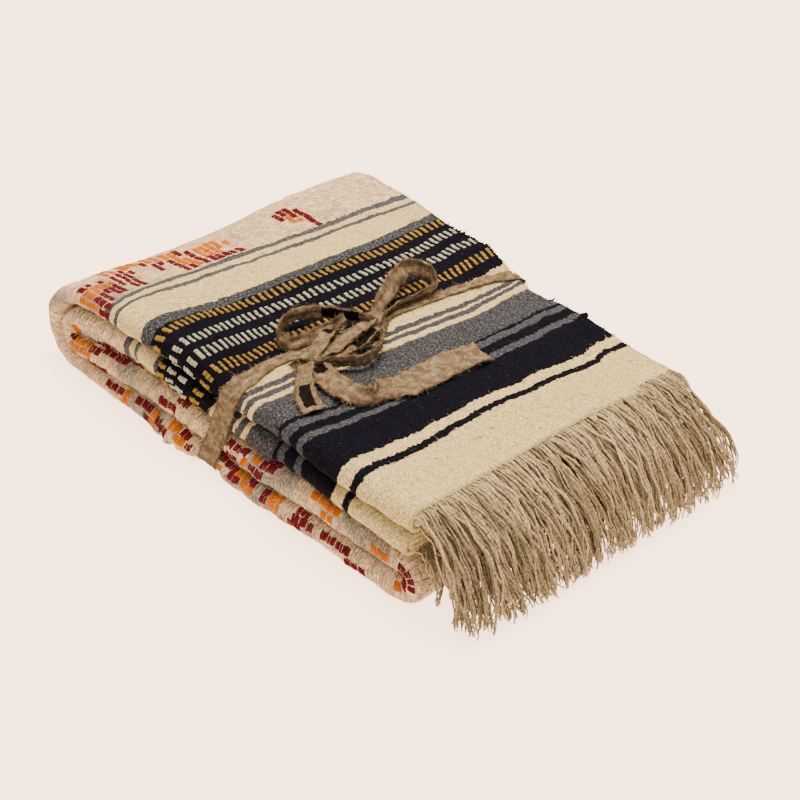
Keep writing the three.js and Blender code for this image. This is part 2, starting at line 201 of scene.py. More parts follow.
@dataclass(frozen=True)
class PackForm:
    """The folded throw's form: the even fold, and how it settles. It repeats the solid's own sizes."""

    layer_thick: float = 4.0
    layer_pitch: float = 5.4
    width: float = 325.0
    inner_edge: float = 4.0
    far_fold: float = 7.0
    cloth_end_x: float = 235.0
    right_turn_x: float = 223.0
    outer_turn_x: float = -203.5
    inner_turn_x: float = -200.0
    ribbon_x: float = 20.0
    tie_reach: float = 62.0
    recess_depth: float = 1.5
    recess_flat: float = 14.0
    recess_ramp: float = 24.0
    recess_reach: float = 14.0

    # How it settles: the swell of both ends, and how far the tie draws it down everywhere, near and far.
    swell: Pair = (1.13, 1.015)
    far_loss: float = 0.085
    drawn: Triple = (0.03, 0.1, 0.04)
    side_zone: Pair = (60.0, 160.0)
    open_rise: float = 9.0
    droop: float = 0.2
    droop_zones: tuple[Pair, Pair] = ((0.62, 1.0), (-155.0, 10.0))
    top_waves: tuple[Triple, ...] = ((1.3, 31.0, 70.0), (0.8, 21.0, -45.0))
    edge_waves: tuple[Triple, ...] = ((1.6, 37.0, 10.0), (0.8, 19.0, 16.0))
    end_wave: Triple = (2.2, 50.0, 20.0)
    foot: float = 7.0
    foot_zones: tuple[Pair, Pair] = ((12.0, 26.0), (45.0, 130.0))
    near_in: Pair = (9.0, 9.0)
    far_in: float = 4.0
    far_step: Pair = (-9.0, 16.0)
    far_step_zone: Pair = (-30.0, 90.0)
    shear: float = 0.085
    slip: float = 22.0
    slip_reach: float = 110.0
    lean: Pair = (10.0, -4.0)
    right_zone_x: float = 150.0
    right_out: float = 10.0
    path: Track = field(init=False)
    section: Track = field(init=False)

    def __post_init__(self) -> None:
        """Lays out the way through the four levels, and the section across one."""
        object.__setattr__(self, "path", self._path())
        object.__setattr__(self, "section", self._section())

    @property
    def half_level(self) -> float:
        """Half the thickness of one level of four layers."""
        return 1.5 * self.layer_pitch + self.layer_thick / 2

    @property
    def level_pitch(self) -> float:
        """Distance from one level's middle to the next."""
        return 4 * self.layer_pitch

    @property
    def height(self) -> float:
        """Height of the even pack."""
        return 3 * self.level_pitch + 2 * self.half_level

    @property
    def left_end_x(self) -> float:
        """Where the even pack ends on the left."""
        return self.outer_turn_x - self.height / 2

    @property
    def roll_y(self) -> float:
        """Middle of the rolled folds on the near side."""
        return self.half_level - self.width / 2

    @property
    def inner_edge_y(self) -> float:
        """Where the second layer's selvedge lies on the far side."""
        return self.width / 2 - self.inner_edge

    @property
    def far_fold_y(self) -> float:
        """Middle of the inner fold on the far side."""
        return self.width / 2 - self.far_fold

    def level_z(self, rank: int) -> float:
        """Height of a level's middle, from rank 0 at the bottom to 3 at the top."""
        return self.half_level + rank * self.level_pitch

    def _section(self) -> Track:
        """One level across the pack.

        Returns:
            Its (y, n), from its second layer's edge round to its top one's.
        """
        pitch, top_y, roll, fold = self.layer_pitch, self.width / 2, self.roll_y, self.far_fold_y
        track = Track()
        track.line((self.inner_edge_y, 0.5 * pitch), (roll, 0.5 * pitch), (0, -1))
        track.arc((roll, 0), 0.5 * pitch, 90, 270, -1)
        track.line((roll, -0.5 * pitch), (fold, -0.5 * pitch), (0, 1))
        track.arc((fold, -pitch), 0.5 * pitch, 90, -90, 1)
        track.line((fold, -1.5 * pitch), (roll, -1.5 * pitch), (0, -1))
        track.arc((roll, 0), 1.5 * pitch, 270, 90, 1)
        track.line((roll, 1.5 * pitch), (top_y, 1.5 * pitch), (0, 1))
        return track.close()

    def _path(self) -> Track:
        """The cloth's way through the four levels.

        Returns:
            Its (x, z), from its upper fringe to its lower one.
        """
        low, second, third, top = (self.level_z(rank) for rank in range(4))
        track = Track()
        track.line((self.cloth_end_x, top), (self.outer_turn_x, top), (0, 1))
        track.arc((self.outer_turn_x, (low + top) / 2), (top - low) / 2, 90, 270, 1)
        track.line((self.outer_turn_x, low), (self.right_turn_x, low), (0, -1))
        track.arc((self.right_turn_x, (low + second) / 2), (second - low) / 2, -90, 90, 1)
        track.line((self.right_turn_x, second), (self.inner_turn_x, second), (0, 1))
        track.arc((self.inner_turn_x, (second + third) / 2), (third - second) / 2, 270, 90, -1)
        track.line((self.inner_turn_x, third), (self.cloth_end_x, third), (0, -1))
        return track.close()

    def settle(self, x: Array, y: Array, z: Array) -> Array:
        """Settled places of places in the evenly folded pack, as the solid has them.

        Args:
            x: Even places along the pack.
            y: Even places across it.
            z: Even heights.

        Returns:
            Points, with their coordinates along the last axis.
        """
        x, y, z = (np.asarray(values, float) for values in (x, y, z))
        along = np.clip((x - self.left_end_x) / (self.cloth_end_x - self.left_end_x), 0, 1)
        to_left, height = 1 - along, np.clip(z / self.height, 0, 1)
        to_near, to_far = smoothstep(-y, *self.side_zone), smoothstep(y, *self.side_zone)
        from_tie = np.abs(x - self.ribbon_x)
        tied = 1 - smoothstep(from_tie, self.recess_flat, self.tie_reach)
        free = 1 - tied

        open_turn = self.open_rise * to_left ** 1.5 * smoothstep(z - 2 * self.level_pitch, -1, 1)
        droop_left, droop_near = self.droop_zones
        droop = self.droop * smoothstep(to_left, *droop_left) * smoothstep(-y, *droop_near)
        left, right = self.swell
        swell = (left + (right - left) * along) * (1 - self.far_loss * to_far) * (1 - droop)
        everywhere, near, far = self.drawn
        drawn_down = 1 - tied * (everywhere + near * to_near + far * to_far)
        recess = (self.recess_depth * (1 - smoothstep(from_tie, self.recess_flat, self.recess_ramp))
                  * (1 - np.clip(z / self.recess_reach, 0, 1)))
        above = (np.maximum(z, 0) + open_turn) * swell * drawn_down
        above = above + free * height * wave_sum(self.top_waves, x, y)

        edge_wave = free * wave_sum(self.edge_waves, x, z)
        beside, away = self.foot_zones
        foot = (self.foot * (1 - height) ** 3 * smoothstep(from_tie, *beside)
                * (1 - smoothstep(from_tie, *away)))
        near_in, near_tied = self.near_in
        near_in = to_near * ((near_in + near_tied * tied) * height + edge_wave - foot)
        step_low, step_rise = self.far_step
        far_step = step_low + step_rise * smoothstep(x, *self.far_step_zone)
        far_in = to_far * (self.far_in * tied * height + edge_wave + far_step)

        shear = self.shear * y * (1 - smoothstep(along, 0.5, 1))
        slip = (self.slip * to_near * (1 - height)
                * (1 - smoothstep(from_tie, self.recess_ramp, self.slip_reach)))
        lean_rise, lean_foot = self.lean
        lean = to_left ** 2 * (lean_rise * height + lean_foot)
        to_right = smoothstep(x, self.right_zone_x, self.cloth_end_x)
        right_out = self.right_out * np.maximum(1 - height / 0.5, 0) * to_right
        wave_height, wave_y, wave_z = self.end_wave
        end_wave = wave_height * to_right * np.sin(y / wave_y + z / wave_z)
        return np.stack([x + shear - slip + lean + right_out + end_wave, y + near_in - far_in,
                         above + recess + np.minimum(z, 0)], -1)

    def cloth(self, u: Array, v: Array, lift: Array | float = 0.0) -> Array:
        """Points on or over the cloth.

        Args:
            u: Distances along the throw from its upper fringe.
            v: Distances across it, along a level's section.
            lift: Height over the cloth's middle, towards its face.

        Returns:
            Points of the settled pack.
        """
        x, z, face_x, face_z = self.path.at(u)
        y, n, face_y, face_n = self.section.at(v)
        n = n + lift * face_n
        return self.settle(x + n * face_x, y + lift * face_y, z + n * face_z)

    def over_top(self, places: Array) -> Array:
        """Points over the pack's top.

        Args:
            places: Rows of even x, even y and height above the cloth.

        Returns:
            Points of the settled pack.
        """
        ground = self.settle(places[..., 0], places[..., 1], np.full(places.shape[:-1], self.height))
        ground[..., 2] += places[..., 2]
        return ground


def placed(name: str, data: bpy.types.ID) -> bpy.types.Object:
    """Puts an object in the scene.

    Args:
        name: Its name.
        data: Its mesh, lamp or camera.

    Returns:
        The object.
    """
    holder = bpy.data.objects.new(name, data)
    bpy.context.scene.collection.objects.link(holder)
    return holder


@dataclass
class Draft:
    """Points, faces and surface coordinates of a mesh while it is put together."""

    points: list[Array] = field(default_factory=list)
    faces: list[Array] = field(default_factory=list)
    places: list[Array] = field(default_factory=list)
    count: int = 0
    tilt: Triple = (0.13, 0.97, 0.2)

    def add(self, points: Array, faces: Array, places: Array) -> None:
        """Adds a part.

        Args:
            points: Its points.
            faces: Its faces, which name its points from 0.
            places: Its points' surface coordinates.
        """
        self.points.append(points.reshape(-1, 3))
        self.places.append(np.broadcast_to(places, (*points.shape[:-1], 2)).reshape(-1, 2))
        self.faces.append(faces + self.count)
        self.count += self.points[-1].shape[0]

    @staticmethod
    def grid(rows: int, columns: int, ring: bool = False) -> Array:
        """Quads of a grid of points.

        Args:
            rows: Its rows.
            columns: Its columns.
            ring: Whether the last column joins the first.

        Returns:
            Four point numbers for each face.
        """
        row, column = np.meshgrid(np.arange(rows - 1), np.arange(columns if ring else columns - 1),
                                  indexing="ij")
        after = (column + 1) % columns
        corners = [row * columns + column, (row + 1) * columns + column,
                   (row + 1) * columns + after, row * columns + after]
        return np.stack(corners, -1).reshape(-1, 4)

    @staticmethod
    def _rim(rows: int, columns: int) -> Array:
        """Faces along a sheet's four edges.

        Args:
            rows: The sheet's rows.
            columns: Its columns.

        Returns:
            Four point numbers for each face.
        """
        ends = [np.arange(columns), np.arange(columns) + (rows - 1) * columns]
        sides = [np.arange(rows) * columns, np.arange(rows) * columns + columns - 1]
        strips = []
        for line, turned in ((ends[0], False), (ends[1], True), (sides[0], True), (sides[1], False)):
            a, b = line[:-1], line[1:]
            quad = np.stack([a, b, b + rows * columns, a + rows * columns], -1)
            strips.append(quad[:, ::-1] if turned else quad)
        return np.vstack(strips)

    def grids(self, points: Array, places: Array, ring: bool = False) -> None:
        """Adds many grids that are alike.

        Args:
            points: Points by grid, row and column.
            places: Their surface coordinates.
            ring: Whether the last column joins the first.
        """
        count, rows, columns = points.shape[:3]
        starts = np.arange(count)[:, None, None] * rows * columns
        self.add(points, (self.grid(rows, columns, ring) + starts).reshape(-1, 4), places)

    def sheet(self, face: Array, back: Array, places: Array) -> None:
        """Adds a closed sheet: its two sides and the rim between them.

        Args:
            face: Points of the side that shows, by row and column.
            back: Points of the other side.
            places: Surface coordinates of both.
        """
        rows, columns = face.shape[:2]
        upper = self.grid(rows, columns)
        faces = np.vstack([upper, upper[:, ::-1] + rows * columns, self._rim(rows, columns)])
        self.add(np.stack([face, back]), faces, places)

    def tubes(self, lines: Array, radii: Array, sides: int, places: Array) -> None:
        """Adds round yarns along lines.

        Args:
            lines: One line of points for each yarn.
            radii: The yarn's radius at each point.
            sides: How many sides a yarn has.
            places: Each yarn's surface coordinates at each point.
        """
        ahead = unit(np.gradient(lines, axis=1))
        aside = unit(np.cross(ahead, self.tilt))
        above = np.cross(ahead, aside)
        angle = np.arange(sides) * 2 * math.pi / sides
        spread = aside[:, :, None] * np.cos(angle)[:, None] + above[:, :, None] * np.sin(angle)[:, None]
        self.grids(lines[:, :, None] + spread * radii[:, :, None, None], places[:, :, None], ring=True)

    def build(self, name: str) -> bpy.types.Object:
        """Makes the mesh object, with nothing of it below the ground.

        Args:
            name: The piece's name.

        Returns:
            The new object, in the row frame.
        """
        points = to_row(np.vstack(self.points))
        points[:, 2] = np.maximum(points[:, 2], 0)
        places = np.vstack(self.places)
        faces = [face for part in self.faces for face in part.tolist()]
        mesh = bpy.data.meshes.new(name)
        mesh.from_pydata(points, [], faces)
        corners = np.zeros(len(mesh.loops), np.int32)
        mesh.loops.foreach_get("vertex_index", corners)
        mesh.uv_layers.new(name=CLOTH_MAP).data.foreach_set("uv", places[corners].astype(np.float32).ravel())
        mesh.polygons.foreach_set("use_smooth", np.full(len(faces), True))
        mesh.update()
        return placed(name, mesh)


class Tree:
    """The nodes of one finish, with the one way its nodes are made."""

    def __init__(self, name: str) -> None:
        """Starts an empty material.

        Args:
            name: Its name.
        """
        self.material = bpy.data.materials.new(name)
        self.material.use_nodes = True
        self.nodes = self.material.node_tree.nodes
        self.links = self.material.node_tree.links
        self.nodes.clear()

    def add(self, kind: str, settings: dict | None = None, sockets: dict | None = None) -> bpy.types.Node:
        """Makes a node.

        Args:
            kind: The node's type.
            settings: What is set on the node itself first; "stops" sets a ramp's stops.
            sockets: Values or links of its input sockets, by name or place.

        Returns:
            The new node.
        """
        made = self.nodes.new(kind)
        for name, value in (settings or {}).items():
            if name == "stops":
                ramp = made.color_ramp.elements
                while len(ramp) < len(value):
                    ramp.new(1.0)
                for element, (place, colour) in zip(ramp, value):
                    element.position, element.color = place, colour
            elif name == "interpolation_of_ramp":
                made.color_ramp.interpolation = value
            else:
                setattr(made, name, value)
        for key, value in (sockets or {}).items():
            if isinstance(value, Link):
                self.links.new(value.socket, made.inputs[key])
            elif value is not None:
                made.inputs[key].default_value = value
        return made

    def out(self, kind: str, settings: dict | None = None, sockets: dict | None = None,
            output: str | int = 0) -> "Link":
        """Makes a node, and gives one of its outputs.

        Args:
            kind: The node's type.
            settings: What is set on the node itself.
            sockets: Values or links of its input sockets.
            output: The output's name or place.

        Returns:
            That output, for use in expressions.
        """
        return Link(self, self.add(kind, settings, sockets).outputs[output])

    def math(self, operation: str, *values: "Link | float") -> "Link":
        """A Math node's value."""
        return self.out("ShaderNodeMath", {"operation": operation}, dict(enumerate(values)))

    def places(self) -> tuple["Link", "Link"]:
        """Both surface coordinates of the piece's own map.

        Returns:
            The first and the second.
        """
        surface = self.out("ShaderNodeUVMap", {"uv_map": CLOTH_MAP})
        apart = self.add("ShaderNodeSeparateXYZ", None, {0: surface})
        return Link(self, apart.outputs[0]), Link(self, apart.outputs[1])

    def vector(self, x: "Link | float", y: "Link | float", z: "Link | float" = 0.0) -> "Link":
        """A vector of three values."""
        return self.out("ShaderNodeCombineXYZ", None, {0: x, 1: y, 2: z})

    def noise(self, place: "Link", scale: float, detail: float = 2.0, rough: float = 0.5) -> "Link":
        """Soft noise between 0 and 1 at a place."""
        return self.out("ShaderNodeTexNoise", None,
                        {"Vector": place, "Scale": scale, "Detail": detail, "Roughness": rough}, "Fac")

    def chance(self, place: "Link") -> "Link":
        """A random value between 0 and 1 for each whole place."""
        return self.out("ShaderNodeTexWhiteNoise", {"noise_dimensions": "3D"}, {"Vector": place}, "Value")

    def blend(self, share: "Link | float", low: "Link | Colour", high: "Link | Colour",
              kind: str = "MIX") -> "Link":
        """Mixes two colours.

        Args:
            share: How much of the second there is.
            low: The first colour.
            high: The second colour.
            kind: How they mix.

        Returns:
            The mixed colour.
        """
        return self.out("ShaderNodeMix", {"data_type": "RGBA", "blend_type": kind},
                        {0: share, 6: low, 7: high}, 2)

    def lit(self, colour: "Link", light: "Link") -> "Link":
        """A colour made lighter or darker."""
        return self.blend(1.0, colour, self.vector(light, light, light), "MULTIPLY")

    def surface(self, colour: "Link", height: "Link", depth: float, rough: "Link | float") -> None:
        """Ends the finish in its shader.

        Args:
            colour: The surface's colour.
            height: Its relief, between 0 and 1.
            depth: The relief's depth in metres.
            rough: Its roughness.
        """
        bump = self.out("ShaderNodeBump", None, {"Strength": 1.0, "Distance": depth, "Height": height})
        shader = self.out("ShaderNodeBsdfPrincipled", None, {
            "Base Color": colour, "Roughness": rough, "Normal": bump, "Specular IOR Level": 0.02})
        self.add("ShaderNodeOutputMaterial", None, {"Surface": shader})


def sum_method(operation: str, flipped: bool = False) -> Callable[..., "Link"]:
    """A method that adds a Math node.

    Args:
        operation: The node's operation.
        flipped: Whether the other value comes first.

    Returns:
        The method.
    """
    def apply(link: "Link", *others: "Link | float") -> "Link":
        """Adds the node."""
        return link.tree.math(operation, *((*others, link) if flipped else (link, *others)))
    return apply


@dataclass(frozen=True)
class Link:
    """A node's output that works in expressions."""

    tree: Tree
    socket: bpy.types.NodeSocket

    __add__ = __radd__ = sum_method("ADD")
    __mul__ = __rmul__ = sum_method("MULTIPLY")
    __sub__, __rsub__ = sum_method("SUBTRACT"), sum_method("SUBTRACT", flipped=True)
    __truediv__, __rtruediv__ = sum_method("DIVIDE"), sum_method("DIVIDE", flipped=True)
    __pow__ = sum_method("POWER")
    __gt__, __lt__ = sum_method("GREATER_THAN"), sum_method("LESS_THAN")
    floor, fract = sum_method("FLOOR"), sum_method("FRACT")
    sine, size, least = sum_method("SINE"), sum_method("ABSOLUTE"), sum_method("MINIMUM")

    def step(self, low: float, high: float) -> "Link":
        """Soft step from 0 at low to 1 at high."""
        return self.tree.out("ShaderNodeMapRange", {"interpolation_type": "SMOOTHSTEP"},
                             {"Value": self, "From Min": low, "From Max": high})


class Slot(Enum):
    """The record's material slots."""

    CLOTH = "wool_cloth"
    FRINGE = "fringe_yarn"
    RIBBON = "linen_ribbon"


@dataclass(frozen=True)
class Band:
    """One stripe of the throw: how far from its fringed end it reaches, its colour and its flecks."""

    until: float
    colour: str
    flecks: float = 0.0


CREAM, GREY, SOFT, NAVY, HEATHER, GREIGE = "ada276", "33363e", "3d4148", "0c0d17", "2a2e35", "b5a184"
BANDS = (
    Band(58.7, CREAM), Band(65.3, NAVY), Band(75.5, CREAM), Band(113.7, NAVY), Band(123.2, GREY, 0.7),
    Band(132, NAVY), Band(140, GREY, 0.7), Band(144.5, NAVY), Band(177.5, HEATHER, 1.0),
    Band(184.5, CREAM), Band(191.5, GREY, 0.5), Band(196, CREAM), Band(204.5, GREY, 0.5),
    Band(228, CREAM), Band(318.5, NAVY), Band(328, HEATHER, 1.0), Band(368, CREAM),
    Band(377.5, SOFT, 0.4), Band(386.5, CREAM), Band(396, SOFT, 0.4), Band(960, GREIGE, 0.25),
)
GREIGE_FROM = 396.0
DASH_ZONE = (228.0, 318.5)
PATTERN_END = BANDS[-1].until


@dataclass(frozen=True)
class Drift:
    """How the stripes wander.

    Each of the rows has a distance across the throw, and then where the pattern's lines lie along it
    there. Each of the lower lines has its distance from the lower end, and its distance in the pattern.
    """

    length: float = 1892.64
    step_across: float = 4.0
    lower_lines: tuple[Pair, ...] = (
        (0, 0), (67.6, 62), (81.6, 75.5), (125, 118.7), (142, 136), (183, 177.5), (205, 200.5), (252, 247),
        (272, 268), (288, 291), (302, 312), (312, 328), (341, 373), (353, 392), (470, 470))
    lines: tuple[float, ...] = (
        0, 62, 75.5, 118.7, 136, 177.5, 188, 200.5, 247, 268, 291, 312, 328, 373, 392, 470)
    rows: tuple[tuple[float, ...], ...] = (
        (1284, 0, 64, 80, 131, 148, 200, 212, 220, 263, 286, 314, 334, 350, 374, 386, 470),
        (1260, 0, 67, 79.5, 128.5, 147.5, 197.5, 207, 214.5, 259, 285.5, 310, 330, 347, 373.5, 385, 470),
        (1240, 0, 59.5, 73, 127, 143, 191, 200, 209, 254, 277.5, 301, 325, 342, 372.5, 384, 470),
        (1220, 0, 55.5, 70.5, 122, 140, 182, 193.5, 203.5, 250, 274, 295, 317.5, 337, 371, 382, 470),
        (1200, 0, 55.5, 70.5, 121, 138, 177, 187, 199, 249, 272, 291, 312.5, 332.5, 369, 380, 470),
        (1180, 0, 57.5, 72.5, 119.5, 136, 176, 187, 199.5, 248, 271, 291, 312.5, 331.5, 370, 380, 470),
        (1160, 0, 57.5, 71.2, 118.7, 136, 177.5, 187.5, 200, 247.5, 270, 291, 312.5, 331, 371, 385, 470),
        (1120, 0, 62, 75.7, 117.7, 134, 178, 190, 200, 247, 269.5, 292, 312.5, 327.5, 374, 389.5, 470),
        (1080, 0, 61.5, 74, 115.7, 131, 177.5, 189, 200.5, 246, 267.5, 291, 311, 326, 372.5, 392, 470),
        (1040, 0, 58.7, 72.5, 114.2, 127, 177.5, 189, 200.5, 245, 266.5, 290, 311, 327.5, 372, 392, 470),
        (1000, 0, 59.5, 74.5, 116, 129, 182, 191, 202.5, 246, 267, 289, 314, 334, 380, 393, 470),
        (980, 0, 60.7, 75.7, 118.7, 132.5, 184.5, 193, 204.5, 249, 267, 287.5, 312.5, 336, 379, 390, 470),
        (960, 0, 60, 76, 121, 135, 185.5, 196, 206, 248, 266, 286, 310, 332, 371, 384, 470),
        (925, 0, 62, 75.5, 118.7, 136, 177.5, 188, 200.5, 247, 268, 291, 312, 328, 373, 392, 470),
    )

    def at(self, across: float) -> list[float]:
        """Where the lines lie.

        Args:
            across: A distance across the throw.

        Returns:
            Each line's distance along it.
        """
        places = [row[0] for row in self.rows][::-1]
        return [float(np.interp(across, places, [row[line + 1] for row in self.rows][::-1]))
                for line in range(len(self.lines))]

    def pattern(self, along: Array, across: float) -> Array:
        """Where places lie in the pattern.

        Args:
            along: Their distances along the throw.
            across: Their one distance across it.

        Returns:
            Distances in the pattern.
        """
        drawn_until = self.lines[-1]
        seen = np.interp(along, self.at(across), self.lines)
        from_end = self.length - along
        lower = self.length - np.interp(from_end, *zip(*self.lower_lines))
        return np.where(along <= drawn_until, seen, np.where(from_end <= drawn_until, lower, along))

    def pattern_of(self, along: Array, across: Array) -> Array:
        """Where places lie in the pattern, each with its own distance across the throw.

        Args:
            along: Their distances along the throw.
            across: Their distances across it.

        Returns:
            Distances in the pattern.
        """
        rounded, found = np.round(across / self.step_across) * self.step_across, np.array(along, float)
        for place in np.unique(rounded):
            found[rounded == place] = self.pattern(found[rounded == place], place)
        return found

    def place(self, line: float, across: float) -> float:
        """Distance along the throw of a distance in the pattern."""
        return float(np.interp(line, self.lines, self.at(across)))

    def lower_place(self, line: float) -> float:
        """Distance along the throw of a distance in the pattern from its lower end."""
        places, lines = zip(*self.lower_lines)
        return self.length - float(np.interp(line, lines, places))


DRIFT = Drift()


@dataclass(frozen=True)
class WoolFinish:
    """Thick woven wool in stripes: weft yarns across the throw, in floats that step from row to row."""

    length: float
    yarn_pitch: float = 2.9
    float_length: float = 6.5
    rib_pitch: float = 1.45
    roll_zone: tuple[Pair, Pair] = ((936.0, 946.0), (966.0, 984.0))
    rolls_from: float = 500.0
    top_zone: Pair = (980.0, 1010.0)
    edge_steps: Pair = (2.7, 5.0)
    edge_wander: Triple = (1.7, 4.0, 2.2)
    grey_patches: float = 0.8
    flecks: Pair = (0.68, 0.62)
    stains: float = 0.35
    hairs: float = 0.14
    # Painted shade: how far the slits between floats darken the colour, plainly, on the folds and between
    # the ribs.
    painted_gap_shade: Triple = (0.7, 0.1, 0.3)
    mottle: float = 1.4
    fuzz: float = 3.8
    darkest: float = 0.35
    relief: float = 0.0008

    def make(self) -> bpy.types.Material:
        """Builds the finish.

        Returns:
            The material.
        """
        tree = Tree("wool_stripes")
        u, v = (place * MM_PER_M for place in tree.places())
        ground = tree.vector(u, v)
        from_end = u.least(self.length - u)
        coarse = from_end > GREIGE_FROM
        ribbed = (from_end > DASH_ZONE[0]) * (from_end < DASH_ZONE[1])
        begins, ends = self.roll_zone
        folded = v.step(*begins) * (1 - v.step(*ends)) * (u > self.rolls_from)
        drawn = (tree.noise(ground, 0.16, 2) - 0.5) * 3.2 + (tree.noise(ground, 0.02, 2) - 0.5) * 4
        u_bent = u + drawn
        body, arch, tone, slit = self._floats(tree, u_bent, v)
        ribs = (u_bent / self.rib_pitch * math.pi * 2).sine() * 0.5 + 0.5
        gap = (1 - body.step(0.0, 0.75)) * slit.step(0.2, 0.9) * arch

        fibre = tree.noise(tree.vector(u * 0.75, v * 0.4), 1.0, 3, 0.65)
        fuzz = tree.noise(ground, 0.5, 4, 0.75)
        mottle = tree.noise(ground, 0.14, 3, 0.65)
        patches = tree.noise(ground, 0.014, 2)
        hairs = tree.noise(tree.vector(u * 0.9 + v * 0.3, v * 0.12 - u * 0.2), 1.0, 4, 0.7)
        colour, flecks = self._stripes(tree, ground, u, v, from_end)
        pale, dark = self.flecks
        on_rolls = 1 - v.step(*self.top_zone) * 0.75
        greyed = coarse * patches.step(0.5, 0.58) * self.grey_patches * on_rolls
        stained = (1 - coarse) * mottle.step(0.5, 0.72) * self.stains
        colour = tree.blend(greyed, colour, paint("77756c"))
        colour = tree.blend(flecks * fibre.step(0.46, 0.68) * pale, colour, paint("62676d"))
        colour = tree.blend(flecks * (1 - fibre.step(0.3, 0.5)) * dark, colour, paint("171920"))
        colour = tree.blend(stained, colour, paint("8d7a52"), "MULTIPLY")
        colour = tree.blend(hairs.step(0.6, 0.76) * self.hairs, colour, paint("a8a294"))

        # The slits between floats are darkened in the colour, more where the cloth is folded: painted shade.
        plain, in_folds, between_ribs = self.painted_gap_shade
        light = 1 - gap * (coarse * (plain + folded * in_folds) + ribbed * between_ribs)
        # The troughs between the ribs are darkened a little in the colour: painted shade.
        light = light * (1 - (1 - ribs) * (1 - coarse) * 0.08)
        light = light * (1 + (mottle - 0.5) * self.mottle + (tone - 0.5) * coarse * 0.3)
        light = light * tree.math("MAXIMUM", 1 + (fuzz - 0.5) * self.fuzz, self.darkest)
        height = (body * (0.35 + arch * 0.65) - gap) * (coarse * 0.6 + ribbed * 0.4) + ribs * 0.15
        tree.surface(tree.lit(colour, light), height + fibre * 0.3 + fuzz * 0.6, self.relief, 0.95)
        return tree.material

    def _floats(self, tree: Tree, u: Link, v: Link) -> tuple[Link, Link, Link, Link]:
        """Lays the weft's floats side by side.

        Args:
            tree: The finish's nodes.
            u: Distance along the throw, where a yarn is drawn to.
            v: Distance across it.

        Returns:
            A float's roundness, its arch from end to end, and its chances of a tone and of a slit.
        """
        row, across = (u / self.yarn_pitch).floor(), (u / self.yarn_pitch).fract()
        turn = (v + across * 1.6) / self.float_length + row * 0.5 + tree.chance(tree.vector(row, 3.7)) * 0.5
        tone = tree.chance(tree.vector(row, turn.floor(), 1.3))
        slit = tree.chance(tree.vector(row, turn.floor(), 8.3))
        ends = turn.fract()
        return 1 - (across * 2 - 1) ** 2, ends * (1 - ends) * 4, tone, slit

    def _stripes(self, tree: Tree, ground: Link, u: Link, v: Link, from_end: Link) -> tuple[Link, Link]:
        """Colours the stripes, with edges that step and wander.

        Args:
            tree: The finish's nodes.
            ground: Both distances as a vector.
            u: Distance along the throw.
            v: Distance across it.
            from_end: Distance from its nearer end.

        Returns:
            The stripe's colour, and how many flecks it has.
        """
        step_v, step_u = self.edge_steps
        step = tree.chance(tree.vector((v / step_v).floor(), (u / step_u).floor(), 5.5)) - 0.5
        sway = tree.noise(tree.vector(v, u * 0.2), 0.09, 2) - 0.5
        blur = tree.noise(ground, 0.9, 2, 0.7) - 0.5
        by_step, by_sway, by_blur = self.edge_wander
        bounds = [0.0, *[band.until / PATTERN_END for band in BANDS[:-1]]]
        stops = [(place, (*paint(band.colour)[:3], band.flecks)) for place, band in zip(bounds, BANDS)]
        place = (from_end + step * by_step + sway * by_sway + blur * by_blur) / PATTERN_END
        ramp = tree.add("ShaderNodeValToRGB", {"stops": stops, "interpolation_of_ramp": "CONSTANT"},
                        {0: place})
        return Link(tree, ramp.outputs[0]), Link(tree, ramp.outputs[1])


@dataclass(frozen=True)
class YarnFinish:
    """A dyed yarn: fibres that run along it, and a twist."""

    name: str
    colour: str
    shade: str
    twist: float = 3.0
    relief: float = 0.0003
    uneven: float = 0.3

    def make(self) -> bpy.types.Material:
        """Builds the finish.

        A piece's first coordinate goes round or across its yarn, and its second along it.

        Returns:
            The material.
        """
        tree = Tree(self.name)
        u, v = tree.places()
        tone = tree.chance(tree.vector(u.floor(), 2.3))
        fibre = tree.noise(tree.vector(u * 9, v * 4), 1.0, 3, 0.7)
        strand = ((v * self.twist + u.fract() * 2) * math.pi).sine() * 0.5 + 0.5
        # The grooves of the twist are darkened in the colour: painted shade. Tone and fibres vary at random.
        light = (0.87 + (tone - 0.5) * self.uneven) * (0.75 + strand * 0.2 + fibre * 0.25)
        colour = tree.blend(fibre.step(0.25, 0.6), paint(self.shade), paint(self.colour))
        tree.surface(tree.lit(colour, light), strand * 0.7 + fibre * 0.5, self.relief, 0.92)
        return tree.material


